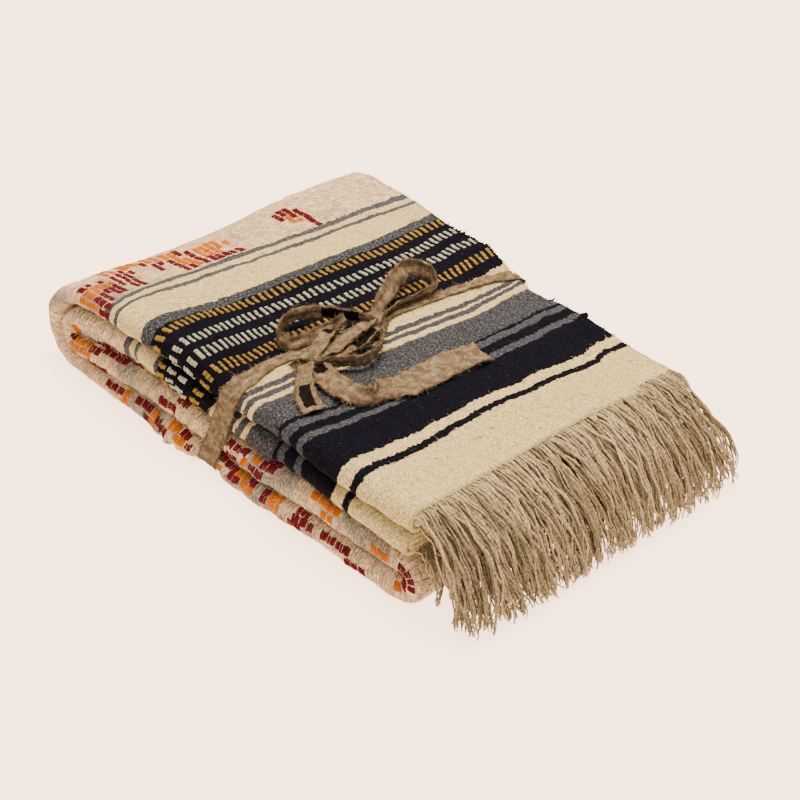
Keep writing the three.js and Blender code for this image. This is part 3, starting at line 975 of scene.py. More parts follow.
@dataclass(frozen=True)
class LinenFinish:
    """Raw linen tape: a plain weave with slubs, and a plain dark bar where the surface says so."""

    deep: str = "54493a"
    pale: str = "80725e"
    ink: str = "08080a"
    bar: Pair = (36.0, 13.0)
    worn: float = 3.0
    thread: float = 0.55
    relief: float = 0.00025

    def make(self) -> bpy.types.Material:
        """Builds the finish.

        Both coordinates are in metres, along and across the tape, and 0 in the middle of a bar.

        Returns:
            The material.
        """
        tree = Tree("raw_linen")
        u, v = (place * MM_PER_M for place in tree.places())
        place = tree.vector(u, v)
        bend = (tree.noise(place, 0.25, 2) - 0.5) * 0.8
        warp, weft = (((way + bend) / self.thread * math.pi).sine().size() for way in (v, u))
        slub = tree.noise(tree.vector(u * 0.06, v * 1.3), 1.0, 3, 0.6)
        cloudy = tree.noise(place, 0.15, 3, 0.6)
        fibre = tree.noise(place, 0.9, 4, 0.75)
        # The hollows between the warp and weft threads are darkened in the colour: painted shade. Slubs and
        # fibres vary at random.
        light = (0.7 + warp * 0.14 + weft * 0.16) * (1 + (slub - 0.5) * 1.2 + (fibre - 0.5) * 2.2)
        colour = tree.blend(cloudy.step(0.35, 0.7), paint(self.deep), paint(self.pale))
        worn = tree.noise(place, 0.5, 3, 0.7) * self.worn
        in_length, in_width = (way.size() + worn < reach / 2 for way, reach in zip((u, v), self.bar))
        colour = tree.blend(in_length * in_width * 0.97, colour, paint(self.ink))
        tree.surface(tree.lit(colour, light), (warp + weft + slub) * 0.4 + fibre * 0.5, self.relief, 0.93)
        return tree.material


@dataclass(frozen=True)
class FloorFinish:
    """A plain pale floor that glows a little, as a light table does."""

    glow: Colour = (4.2, 2.85, 1.95, 1.0)
    shades: tuple[str, str] = ("949494", "969696")

    def make(self) -> bpy.types.Material:
        """Builds the finish.

        Returns:
            The material.
        """
        tree = Tree("pale_floor")
        place = tree.out("ShaderNodeTexCoord", None, None, "Object")
        cloudy = tree.noise(place, 3.0, 2)
        colour = tree.blend(cloudy, *map(paint, self.shades))
        bump = tree.out("ShaderNodeBump", None, {"Strength": 0.1, "Distance": 0.0001, "Height": cloudy})
        shader = tree.out("ShaderNodeBsdfPrincipled", None, {
            "Base Color": colour, "Roughness": 0.9, "Normal": bump, "Specular IOR Level": 0.0,
            "Emission Color": self.glow, "Emission Strength": 1.0})
        tree.add("ShaderNodeOutputMaterial", None, {"Surface": shader})
        return tree.material


def dressed(piece: bpy.types.Object, finish: bpy.types.Material, slot: Slot,
            *nodes: str) -> bpy.types.Object:
    """Gives a piece its finish and its place in the frame.

    Args:
        piece: The piece.
        finish: Its material.
        slot: The record's slot for its finish. It is not used.
        nodes: The solids that it stands for.

    Returns:
        The piece.
    """
    piece.data.materials.append(finish)
    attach(piece, "root")
    if nodes:
        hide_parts(*nodes)
    return piece


@dataclass(frozen=True)
class Crease:
    """A soft trough of the cloth: its two ends along and across the throw, its depth and half its width."""

    start: Pair
    end: Pair
    depth: float
    reach: float

    def dip(self, u: Array, v: Array) -> Array:
        """How far the face dips, with a low ridge on both sides of the trough.

        Args:
            u: Distances along the throw.
            v: Distances across it.

        Returns:
            The dips.
        """
        along, across = self.end[0] - self.start[0], self.end[1] - self.start[1]
        share = ((u - self.start[0]) * along + (v - self.start[1]) * across) / (along ** 2 + across ** 2)
        share = np.clip(share, 0, 1)
        away = np.hypot(u - self.start[0] - share * along, v - self.start[1] - share * across) / self.reach
        return self.depth * (np.exp(-away ** 2) - 0.4 * np.exp(-(away - 2) ** 2))


TOP_CREASES = (
    Crease((190, 975), (168, 1042), 1.3, 6), Crease((240, 975), (264, 1046), 1.3, 7),
    Crease((205, 1000), (196, 1080), 0.8, 5), Crease((229, 1002), (240, 1090), 0.8, 6),
    Crease((200, 1283), (184, 1228), 0.9, 6), Crease((236, 1283), (252, 1222), 0.9, 6),
    Crease((30, 1010), (47, 1122), 0.8, 8), Crease((10, 1182), (42, 1104), 0.7, 8),
    Crease((332, 1005), (300, 1100), 1.0, 9), Crease((396, 1060), (358, 1182), 1.1, 10),
    Crease((412, 1000), (424, 1130), 0.9, 9), Crease((152, 1000), (118, 1072), 0.8, 8),
    Crease((95, 1010), (80, 1090), 0.8, 8), Crease((440, 1170), (468, 1040), 1.0, 9),
    Crease((500, 1230), (520, 1090), 1.0, 9),
)
ROLL_CREASES = tuple(
    Crease((tied + away, 938), (tied + away * 1.25, 974), 1.1, 5)
    for tied in (764, 1204, 1678) for away in (-62, -41, -25, 24, 38, 60))


@dataclass
class WoolThrow:
    """The folded throw: one closed sheet on the solid's folds, with the soft unevenness of thick wool."""

    form: PackForm
    thick: float = 4.9
    row_step: float = 5.0
    uneven: float = 0.5
    uneven_reach: float = 26.0
    creases: tuple[Crease, ...] = TOP_CREASES + ROLL_CREASES

    # The steps across its four flats and the turns after them, from the second layer's edge.
    flat_steps: tuple[int, ...] = (10, 10, 10, 56)
    turn_steps: tuple[int, ...] = (8, 8, 20, 1)

    def on_face(self, u: Array, v: Array, rise: Array | float = 0.0) -> Array:
        """Points over the side that shows.

        Args:
            u: Distances along the throw.
            v: Distances across it.
            rise: Height over its face.

        Returns:
            Points of the settled pack.
        """
        swell = self.uneven * ripple(np.stack([u, v], -1), self.uneven_reach, 11)
        for crease in self.creases:
            swell = swell - crease.dip(u, v)
        return self.form.cloth(u, v, self.thick / 2 + swell + rise)

    def _columns(self) -> Array:
        """Distances across the throw, close together where the cloth turns or shows.

        Returns:
            The distances, in order.
        """
        form, pitch = self.form, self.form.layer_pitch
        ends = (form.inner_edge_y, form.far_fold_y, form.far_fold_y, form.width / 2)
        turns = (math.pi * pitch * 0.5, math.pi * pitch * 0.5, math.pi * pitch * 1.5, 0.0)
        places, start = [], 0.0
        for end, turn, flat_steps, turn_steps in zip(ends, turns, self.flat_steps, self.turn_steps):
            flat = end - form.roll_y
            places.extend(start + flat * np.arange(flat_steps) / flat_steps)
            places.extend(start + flat + turn * np.arange(turn_steps) / turn_steps)
            start += flat + turn
        return np.unique(np.round([*places, form.section.length], 4))

    def build(self, wool: bpy.types.Material) -> bpy.types.Object:
        """Makes the sheet and dresses it.

        Args:
            wool: Its finish.

        Returns:
            The piece.
        """
        form = self.form
        rows = np.linspace(0, form.path.length, round(form.path.length / self.row_step) + 1)
        u, v = np.meshgrid(rows, self._columns(), indexing="ij")
        lines = np.stack([DRIFT.pattern(along, across[0]) for along, across in zip(u.T, v.T)], 1)
        draft = Draft()
        face, back = self.on_face(u, v), form.cloth(u, v, -self.thick / 2)
        draft.sheet(face, back, np.stack([lines, v], -1) / MM_PER_M)
        return dressed(draft.build("blanket_cloth"), wool, Slot.CLOTH, "blanket")


@dataclass(frozen=True)
class HairArea:
    """An area of the face, along and across the throw, and how many loose hairs it has."""

    along: Pair
    across: Pair
    count: int


@dataclass
class WoolFuzz:
    """Loose hairs over the cloth's face, and tufts and yarn ends along its far edge, coloured as beneath."""

    throw: WoolThrow
    radius: float = 0.13
    reach: Pair = (2.5, 7.0)
    lift: Pair = (0.3, 1.1)
    areas: tuple[HairArea, ...] = (
        HairArea((0, 540), (950, 1284), 5200), HairArea((540, 1892), (940, 972), 3200),
        HairArea((440, 540), (640, 950), 500))
    edge_v: float = 1283.7
    tufts: int = 1100
    tufts_zone: Pair = (2.0, 438.0)
    tuft_reach: Pair = (1.2, 4.5)
    tuft_radius: float = 0.3
    frayed_zone: tuple[Pair, Pair] = ((214.0, 230.0), (318.0, 332.0))
    frayed_gain: Pair = (0.15, 2.6)
    loose_ends: tuple[Triple, ...] = ((127.5, 5.5, 2.6), (172, 7.5, 1.0), (170, 4.5, 1.2), (124.5, 4.0, 1.8))
    draw: np.random.Generator = field(default_factory=lambda: np.random.default_rng(33))
    draft: Draft = field(default_factory=Draft)

    def build(self, wool: bpy.types.Material) -> bpy.types.Object:
        """Makes the hairs, tufts and loose ends in one mesh, and dresses it.

        Args:
            wool: The cloth's finish.

        Returns:
            The piece.
        """
        for area in self.areas:
            self._hairs(area)
        self._tufts()
        for end in self.loose_ends:
            self._loose_end(*end)
        return dressed(self.draft.build("wool_fuzz"), wool, Slot.CLOTH)

    def _hairs(self, area: HairArea) -> None:
        """Adds the loose hairs of one area.

        Args:
            area: The area.
        """
        draw, count = self.draw, area.count
        u, v = draw.uniform(*area.along, (count, 1)), draw.uniform(*area.across, (count, 1))
        turn, length = draw.uniform(0, 2 * math.pi, (count, 1)), draw.uniform(*self.reach, (count, 1))
        share = np.linspace(0, 1, 4)[None, :]
        bent = turn + draw.normal(0, 0.8, (count, 1)) * share
        rise = draw.uniform(*self.lift, (count, 1)) * np.sin(share * 2.6) + 0.05
        over_u, over_v = u + np.cos(bent) * length * share, v + np.sin(bent) * length * share
        lines = self.throw.on_face(over_u, over_v, rise)
        self._add(lines, u[:, 0], v[:, 0], self.radius * draw.uniform(0.7, 1.3, (count, 1)))

    def _tufts(self) -> None:
        """Adds the tufts of the far edge, thicker where the dark zone's selvedge is frayed."""
        draw, count = self.draw, self.tufts
        u, v = draw.uniform(*self.tufts_zone, (count, 1)), np.full((count, 1), self.edge_v)
        share = np.linspace(0, 1, 4)[None, :]
        roots = self.throw.on_face(u, v, -draw.uniform(0.3, 4.4, (count, 1)))
        begins, ends = self.frayed_zone
        frayed = smoothstep(u, *begins) * (1 - smoothstep(u, *ends))
        longer, thicker = self.frayed_gain
        length = (draw.uniform(*self.tuft_reach, (count, 1)) * (1 + longer * frayed))[..., None]
        heading = unit(draw.normal((0, 1.3, 0.1), 0.55, (count, 3)))[:, None]
        lines = roots + heading * length * share[..., None] + np.array([0, 0, -0.9]) * share[..., None] ** 2
        radius = self.tuft_radius * draw.uniform(0.6, 1.3, (count, 1)) * (1 + thicker * frayed)
        self._add(lines, u[:, 0], v[:, 0] - 2, radius)

    def _loose_end(self, place: float, reach: float, thick: float) -> None:
        """Adds a yarn end or a knob of yarn at the far edge.

        Args:
            place: Where it lies along the throw.
            reach: How far it sticks out.
            thick: Its radius.
        """
        share = np.linspace(0, 1, 6)[None, :, None]
        root = self.throw.on_face(np.full((1, 1), place), np.full((1, 1), self.edge_v - 1.2), -1.5)
        line = root + np.array([1.2, reach, 1.5]) * share + np.array([0.8, 0, 1.2]) * np.sin(share * 7)
        round_off = np.sqrt(np.maximum(1 - (share[..., 0] - 0.3) ** 2 / 0.55, 0.05))
        places = np.broadcast_to(np.array([place, 1280.0]) / MM_PER_M, (1, 6, 2))
        self.draft.tubes(line, thick * round_off, 6, places)

    def _add(self, lines: Array, u: Array, v: Array, radius: Array) -> None:
        """Adds hairs, each coloured as its root's place.

        Args:
            lines: One line of points for each hair.
            u: Their roots' distances along the throw.
            v: Their roots' distances across it.
            radius: Their radii.
        """
        places = np.stack([DRIFT.pattern_of(u, v), v], -1)[:, None] / MM_PER_M
        taper = np.linspace(1.0, 0.5, lines.shape[1])
        self.draft.tubes(lines, radius * taper, 3, np.broadcast_to(places, (*lines.shape[:2], 2)))


class Dye(Enum):
    """Colours of the motif yarns: (deep shade, full colour)."""

    MAROON = ("380912", "5e1826")
    ORANGE = ("8c4400", "b46400")
    YELLOW = ("5c4c22", "8c7434")
    WHITE = ("666c62", "9aa194")


@dataclass(frozen=True)
class FloatRun:
    """A run of weft floats side by side: its place across the throw, and its start and end along it."""

    across: float
    start: float
    end: float
    dye: Dye


def runs(dye: Dye, *rows: tuple[float, float, float]) -> tuple[FloatRun, ...]:
    """Runs of one colour, from rows of (across, start, end)."""
    return tuple(FloatRun(across, start, end, dye) for across, start, end in rows)


TOP_RUNS = (
    *runs(Dye.MAROON, (1193.5, 385, 426), (1187, 413, 435), (1181.5, 422, 436), (1175, 415, 433),
          (1117, 397, 410), (1110, 398, 410), (1103.5, 398, 411), (1097, 398, 412), (1091, 399, 414),
          (1082.5, 401, 439), (1075.5, 434, 447), (1069, 400, 412), (1062, 400, 434), (1053, 430, 438),
          (1047, 419, 439), (1039, 436, 447), (1021, 431, 441), (1014, 401, 447), (1007, 404, 442),
          (999, 416, 441), (990.5, 401, 425), (984, 401, 422), (984, 433, 440), (978, 410, 422),
          (971.5, 394, 416), (971.5, 434, 441), (964.5, 386, 414), (964.5, 431, 441), (957.5, 382, 398)),
    *runs(Dye.ORANGE, (1187, 403, 411), (1181.5, 405, 422), (1119, 422, 431), (1110, 421, 439),
          (1103.5, 412, 439), (1097, 413, 439), (1091, 414, 439), (1075.5, 402, 430), (1069, 413, 444),
          (1062, 435, 450), (1054, 439, 452), (1047, 440, 455), (1033, 444, 457), (1026, 444, 459),
          (1021, 443, 460), (1007, 443, 463), (999, 442, 465), (990.5, 425, 432), (984, 422, 432),
          (978, 423, 434), (971.5, 417, 433), (964.5, 415, 430), (957.5, 400, 432)),
)
ROLL_RUNS = (
    *runs(Dye.MAROON, (952, 990, 998), (958, 989, 998), (962.5, 1136, 1150), (963, 1166, 1176),
          (961, 1175, 1194), (955.5, 1142, 1160), (953, 1174, 1190), (967.5, 1134, 1146),
          (965, 1250, 1266), (957, 1260, 1292), (965.5, 1350, 1385), (962.5, 1385, 1400),
          (963.5, 1422, 1442), (969.5, 1330, 1372), (951.5, 1370, 1400), (969.5, 1380, 1398),
          (952, 596, 622), (950.5, 639, 665), (957.5, 654, 665), (953.5, 676, 688), (956, 688, 705),
          (950, 720, 735), (955.5, 734, 743), (949.5, 762, 798), (954.5, 791, 805), (954.5, 826, 832),
          (949, 826, 832), (953.5, 855, 876), (958.5, 851, 864), (953, 884, 917), (959, 912, 934),
          (949, 812, 820), (954, 976, 990), (960, 980, 992), (948, 856, 868)),
    *runs(Dye.ORANGE, (957, 1007, 1029), (963, 1067, 1101), (956, 1072, 1086), (962.5, 1151, 1160),
          (963.5, 1400, 1422), (957.5, 1394, 1430), (969.5, 1432, 1452), (963.5, 1446, 1462),
          (957, 1161, 1168), (951.5, 622, 630), (957.5, 622, 630),
          (951, 666, 676), (957, 666, 676), (950, 700, 719), (955, 714, 734), (957.5, 766, 782),
          (949.5, 798, 811), (954.5, 806, 820), (954.5, 832, 844), (949, 832, 844), (954, 962, 972)),
)


DIAMOND_MARGIN, DIAMOND_OUTLINE, LEAST_CORE = 5.0, 17.0, 6.0


def stepped_diamonds(middle: float, half: float, width: float, rows: Array) -> tuple[FloatRun, ...]:
    """Runs of a row of stepped diamonds with a maroon outline and an orange core.

    Args:
        middle: Where the diamonds' middles lie along the throw.
        half: How far they reach to both sides of it.
        width: Distance from one diamond to the next, across the throw.
        rows: Where the rows of floats lie across it.

    Returns:
        The runs.
    """
    found = []
    for across in rows:
        reach = half * (1 - abs((across % width) / width * 2 - 1)) + DIAMOND_MARGIN
        core = reach - DIAMOND_OUTLINE
        found.append(FloatRun(across, middle - reach, middle - max(core, 0), Dye.MAROON))
        found.append(FloatRun(across, middle + max(core, 0), middle + reach, Dye.MAROON))
        if core > LEAST_CORE:
            found.append(FloatRun(across, middle - core, middle + core, Dye.ORANGE))
    return tuple(found)


TURN_RUNS = stepped_diamonds(middle=514, half=34, width=92, rows=np.arange(978.0, 1280.0, 6.5))
DASH_LINES = ((247, Dye.YELLOW), (268, Dye.WHITE), (291, Dye.WHITE), (312, Dye.YELLOW))


@dataclass(frozen=True)
class FloatSizes:
    """A block of floats: its reach along the throw, the gap after it, its threads and their length."""

    block: float
    gap: float
    threads: int
    length: float


@dataclass
class MotifYarns:
    """The raised pattern: short floats of dyed weft in rows, laid over the ground of the throw."""

    throw: WoolThrow
    motif: FloatSizes = FloatSizes(8.3, 0.8, 3, 5.7)
    dash: FloatSizes = FloatSizes(10.8, 0.0, 3, 3.15)
    dash_pitch: float = 6.65
    dash_zones: tuple[Pair, Pair] = ((934.0, 1281.0), (938.0, 1000.0))
    rise: float = 0.95
    sunk: float = 0.5
    stations: int = 6
    sides: int = 5

    def _dashes(self) -> list[FloatRun]:
        """The rows of dashes across the dark zone, on the top and round its roll.

        Returns:
            One run for each dash.
        """
        found, half = [], self.dash.block / 2
        on_top, on_roll = (np.arange(*reach, self.dash_pitch) for reach in self.dash_zones)
        for line, dye in DASH_LINES:
            places = [(across, DRIFT.place(line, across)) for across in on_top]
            places += [(across, DRIFT.lower_place(line)) for across in on_roll]
            found += [FloatRun(across, place - half, place + half, dye) for across, place in places]
        return found

    def _floats(self, dye: Dye) -> tuple[Array, Array]:
        """All floats of one colour.

        Args:
            dye: The colour.

        Returns:
            Their middles, and their sizes, along and across the throw.
        """
        rows = [(run, self.motif) for run in (*TOP_RUNS, *ROLL_RUNS, *TURN_RUNS)]
        rows += [(run, self.dash) for run in self._dashes()]
        middles, sizes = [], []
        for run, size in rows:
            if run.dye is not dye:
                continue
            blocks = max(1, round((run.end - run.start) / size.block))
            pitch = (run.end - run.start) / blocks
            wide = (pitch - size.gap) / size.threads
            for number in range(blocks * size.threads):
                block, thread = divmod(number, size.threads)
                place = run.start + block * pitch + (thread + 0.5) * wide + size.gap / 2
                middles.append((place, run.across))
                sizes.append((wide, size.length))
        return np.array(middles), np.array(sizes)

    def build(self, dye: Dye) -> bpy.types.Object:
        """Makes the floats of one colour in one mesh, and dresses it.

        Args:
            dye: The colour.

        Returns:
            The piece.
        """
        draw = np.random.default_rng(len(dye.name))
        middle, size = self._floats(dye)
        middle = middle + draw.normal(0, (0.12, 0.3), middle.shape)
        size = size * draw.uniform((0.96, 0.92), (1.08, 1.1), size.shape)
        rounds = [np.sin(np.linspace(-1, 1, count) * math.pi / 2) for count in (self.sides, self.stations)]
        a, b = np.meshgrid(*rounds, indexing="ij")
        u = middle[:, 0, None, None] + a * size[:, 0, None, None] / 2
        v = middle[:, 1, None, None] + b * size[:, 1, None, None] / 2
        rise = self.rise * draw.uniform(0.75, 1.2, (len(middle), 1, 1))
        dome = np.sqrt(np.maximum(1 - a ** 4, 0)) * np.sqrt(np.maximum(1 - b ** 6, 0))
        number = np.arange(len(middle))[:, None, None]
        places = np.stack([number + (a + 1) * 0.49, (b + 1) * size[:, 1, None, None] / 2], -1)
        draft = Draft()
        draft.grids(self.throw.on_face(u, v, (rise + self.sunk) * dome - self.sunk), places)
        name, (shade, colour) = dye.name.lower(), dye.value
        finish = YarnFinish(f"yarn_{name}", colour, shade, twist=0.9).make()
        return dressed(draft.build(f"motif_yarns_{name}"), finish, Slot.CLOTH)


@dataclass(frozen=True)
class StrandRow:
    """One row of fringe: the layer it hangs from, its locks of strands, and how they fall.

    Its fall holds pairs of a reach past the root and a height as a share of the root's.
    """

    layer: float
    locks: int
    strands: int
    from_y: float
    to_y: float
    fall: tuple[Pair, ...]
    back: float = 0.0


OUTER_FALL = ((-3, 1.0), (8, 0.99), (24, 0.89), (40, 0.73), (52, 0.53), (60, 0.32), (65, 0.14), (68, 0.01))
MIDDLE_FALL = ((-3, 0.99), (8, 0.97), (20, 0.86), (33, 0.68), (44, 0.48), (52, 0.28), (57, 0.12), (60, 0.01))
INNER_FALL = ((-3, 1.0), (8, 0.96), (18, 0.8), (28, 0.55), (36, 0.32), (42, 0.12), (45, 0.01))
LOWER_FALL = ((-3, 1.0), (7, 0.97), (14, 0.82), (20, 0.55), (25, 0.28), (28, 0.02))
UPPER_ROWS = (
    StrandRow(1.5, 58, 5, -152, 158, OUTER_FALL, 9), StrandRow(1.1, 46, 5, -154, 156, OUTER_FALL),
    StrandRow(0.5, 44, 4, -150, 156, MIDDLE_FALL), StrandRow(-1.5, 34, 4, -147, 150, INNER_FALL),
    StrandRow(1.3, 9, 6, -158, -118, OUTER_FALL),
)
LOWER_ROWS = (StrandRow(1.5, 40, 4, -148, 150, LOWER_FALL),)


@dataclass
class Fringe:
    """One fringe: warp ends that leave the cloth in wavy strands and fall in pointed locks that cross."""

    form: PackForm
    node: str
    rank: int
    facing: int
    rows: tuple[StrandRow, ...]
    seed: int
    radius: float = 1.05
    sides: int = 4
    steps: int = 22
    colour_length: float = 6.0

    # Where the locks near both sides fall differently, and how far locks reach everywhere, near and far.
    near_zone: Pair = (118.0, 150.0)
    far_zone: Pair = (90.0, 158.0)
    back_zone: Pair = (20.0, 160.0)
    reach_shares: Triple = (1.06, 0.42, 0.14)
    crossing_share: float = 0.4
    looseness: float = 4.0
    curls: Pair = (24.0, 38.0)
    side_lean: Pair = (-8.0, 13.0)

    def build(self, yarn: bpy.types.Material) -> bpy.types.Object:
        """Makes the strands in one mesh, and dresses it.

        Args:
            yarn: Their finish.

        Returns:
            The piece.
        """
        draw, draft = np.random.default_rng(self.seed), Draft()
        share = np.linspace(0, 1, self.steps)
        for row in self.rows:
            lines = self._lines(row, draw)
            each = (len(lines), 1)
            radii = self.radius * draw.uniform(0.75, 1.15, each) * (1.05 - 0.5 * share ** 3)
            radii = radii * (1 + 0.1 * np.sin(share * 60 + draw.uniform(0, 6, each)))
            length = np.linalg.norm(np.diff(lines, axis=1), axis=-1).cumsum(1) / self.colour_length
            along = np.hstack([np.zeros(each), length])
            number = np.arange(len(lines))[:, None] + 0.5 + 0 * along
            draft.tubes(lines, radii, self.sides, np.stack([number, along], -1))
        return dressed(draft.build(f"{self.node}_strands"), yarn, Slot.FRINGE, self.node)

    def _lines(self, row: StrandRow, draw: np.random.Generator) -> Array:
        """The ways of one row's strands.

        Args:
            row: The row of fringe.
            draw: The seeded source of chance.

        Returns:
            One line of points for each strand.
        """
        form, each = self.form, (row.locks * row.strands, 1)
        lock = np.repeat(np.arange(row.locks), row.strands)[:, None]
        pitch = (row.to_y - row.from_y) / row.locks
        own = np.tile(np.linspace(-0.5, 0.5, row.strands), row.locks)[:, None] * pitch
        middle = row.from_y + (lock + 0.5) * pitch
        near, far = smoothstep(-middle, *self.near_zone), smoothstep(middle, *self.far_zone)
        level = form.level_z(self.rank) + self.facing * row.layer * form.layer_pitch
        start = form.cloth_end_x - row.back * smoothstep(middle, *self.back_zone)
        roots = form.settle(start, middle + own, level + 0.4 * row.back * far)
        root_x, root_y, root_z = np.moveaxis(roots, -1, 0)

        fall = curve_through(np.array(row.fall), 5)
        ends = draw.uniform(0.91, 1.0, row.locks)[lock] * (1 - np.abs(draw.normal(0, 0.035, each)))
        share = np.linspace(0, 1, self.steps)[None, :] * ends
        reach, height = (np.interp(share, np.linspace(0, 1, len(fall)), column) for column in fall.T)
        most, near_less, far_less = self.reach_shares
        less = draw.uniform(0, near_less, row.locks)[lock]
        x = root_x + reach * (most - less * near - far_less * far)
        z = root_z * height
        ahead = unit(np.stack([np.gradient(x, axis=1), np.gradient(z, axis=1)], -1))

        crossing = draw.random(row.locks) < self.crossing_share
        lean = draw.normal(3, 7, row.locks) + crossing * draw.normal(5, 15, row.locks)
        layer = draw.uniform(0, 3.0, row.locks) + np.abs(lean) / 9
        turn = draw.uniform(-3.2, 3.2, row.locks)[lock] * share
        spread = own * (1.4 - 0.8 * share ** 2) + draw.normal(0, self.looseness, each) * np.sin(share * 2.5)
        swing = draw.uniform(0, 6.3, row.locks)[lock] + share * draw.uniform(7, 14, row.locks)[lock]
        wave = np.sin(share * draw.uniform(*self.curls, each) + draw.uniform(0, 6.3, each))
        free, own_wave = np.minimum(share * 4, 1), draw.uniform(0.4, 1.3, each)
        near_lean, far_lean = self.side_lean
        drift = lean[lock] * (1 - 0.6 * far - 0.6 * near) + near_lean * near + far_lean * far
        y = (root_y - own + spread * np.cos(turn) + free * (2.6 * np.sin(swing) + own_wave * wave)
             + drift * share ** 1.3)
        lift = free * (layer[lock] * np.sin(share * 2.8) + spread * np.sin(turn) + 0.5 * wave
                       + 1.3 * np.cos(swing * 1.2))
        lift = np.maximum(lift, -1.5) + draw.normal(0, 0.7, each) * (1 - 0.5 * share)
        lowest = self.radius * 0.8
        return np.stack([x - lift * ahead[..., 1], y, np.maximum(z + lift * ahead[..., 0], lowest)], -1)


@dataclass(frozen=True)
class TapeRun:
    """One run of the bow.

    Its rows hold even x, even y, lift, width and how upright its width stands. The middle of its dark
    bar lies at printed along it, where it has one.
    """

    rows: tuple[tuple[float, float, float, float, float], ...]
    printed: float | None = None
    crumple: float = 0.8


# The far loop, the near loop, the arc on the right, the three tapes between the knots, the short end,
# the long end, two wraps of the far knot and one of the near knot.
BOW_RUNS = (
    TapeRun(((12, 2, 6, 9, 0.4), (8, 8, 8, 11, 0.5), (-3, 27, 12, 15, 0.55), (-15, 49, 15, 18, 0.6),
             (-19, 68, 17, 17, 0.7), (-6, 78, 15, 15, 0.8), (8, 73, 10, 13, 0.8), (8, 54, 8, 12, 0.6),
             (8, 32, 7, 11, 0.5), (14, 8, 6, 9, 0.5)), None, 0.9),
    TapeRun(((22, 0, 7, 9, 0.5), (18, -6, 10, 11, 0.7), (5, -18, 13, 13, 0.8), (-12, -36, 14, 13, 0.9),
             (-21, -55, 13, 12, 0.9), (-17, -74, 11, 12, 0.9), (-6, -84, 9, 12, 0.8), (6, -78, 8, 12, 0.6),
             (8, -58, 8, 12, 0.6), (8, -38, 10, 12, 0.7), (8, -24, 12, 12, 0.7)), 34.0),
    TapeRun(((22, 3, 7, 9, 0.5), (42, -12, 10, 12, 0.7), (62, -32, 11, 13, 0.8), (67, -52, 11, 13, 0.8),
             (56, -67, 10, 13, 0.7), (43, -79, 8, 12, 0.5), (31, -83, 7, 10, 0.3)), None, 0.9),
    TapeRun(((7, -29, 5, 11, 0.4), (16, -49, 13, 14, 0.15), (27, -67, 11, 14, 0.1),
             (33, -83, 8, 11, 0.1)), 8.0),
    TapeRun(((18, -1, 9, 11, 0.3), (26, -28, 11, 17, 0.15), (33, -56, 10, 18, 0.1),
             (33, -82, 8, 12, 0.1)), None, 1.3),
    TapeRun(((28, -4, 7, 10, 0.3), (40, -36, 8, 14, 0.2), (42, -62, 7, 14, 0.2),
             (32, -80, 6, 10, 0.3)), 22.0, 1.1),
    TapeRun(((26, -84, 6, 11, 0.3), (38, -93, 9, 15, 0.3), (50, -107, 9, 16, 0.3), (66, -119, 8, 17, 0.25),
             (80, -127, 6, 18, 0.15), (96, -133, 4.5, 19, 0.1)), 62.0),
    TapeRun(((30, -78, 6, 11, 0.4), (48, -86, 8, 17, 0.3), (68, -92, 8, 20, 0.2), (88, -93, 8, 20, 0.2),
             (104, -89, 8, 17, 0.4), (112, -80, 9, 15, 0.7), (108, -70, 8, 18, 0.6), (106, -60, 5, 25, 0.2),
             (108, -48, 4, 30, 0.0), (107, -26, 3.6, 31, 0.0), (104, 8, 3.4, 31, 0.0),
             (107, 42, 3.6, 30, 0.0)), 12.0, 1.0),
    TapeRun(((6, -11, 1, 10, 0.2), (11, -6, 10, 11, 0.0), (17, -1, 13, 12, 0.0), (22, 4, 10, 11, 0.0),
             (25, 7, 1, 10, 0.2)), None, 0.5),
    TapeRun(((30, -10, 1, 9, 0.2), (24, -4, 12, 9, 0.0), (17, 5, 13, 9, 0.0),
             (10, 12, 2, 9, 0.2)), None, 0.5),
    TapeRun(((18, -92, 1, 9, 0.2), (28, -87, 10, 10, 0.0), (37, -80, 11, 10, 0.0),
             (46, -72, 2, 9, 0.2)), None, 0.5),
)
UNPRINTED = (0.0, 100.0)


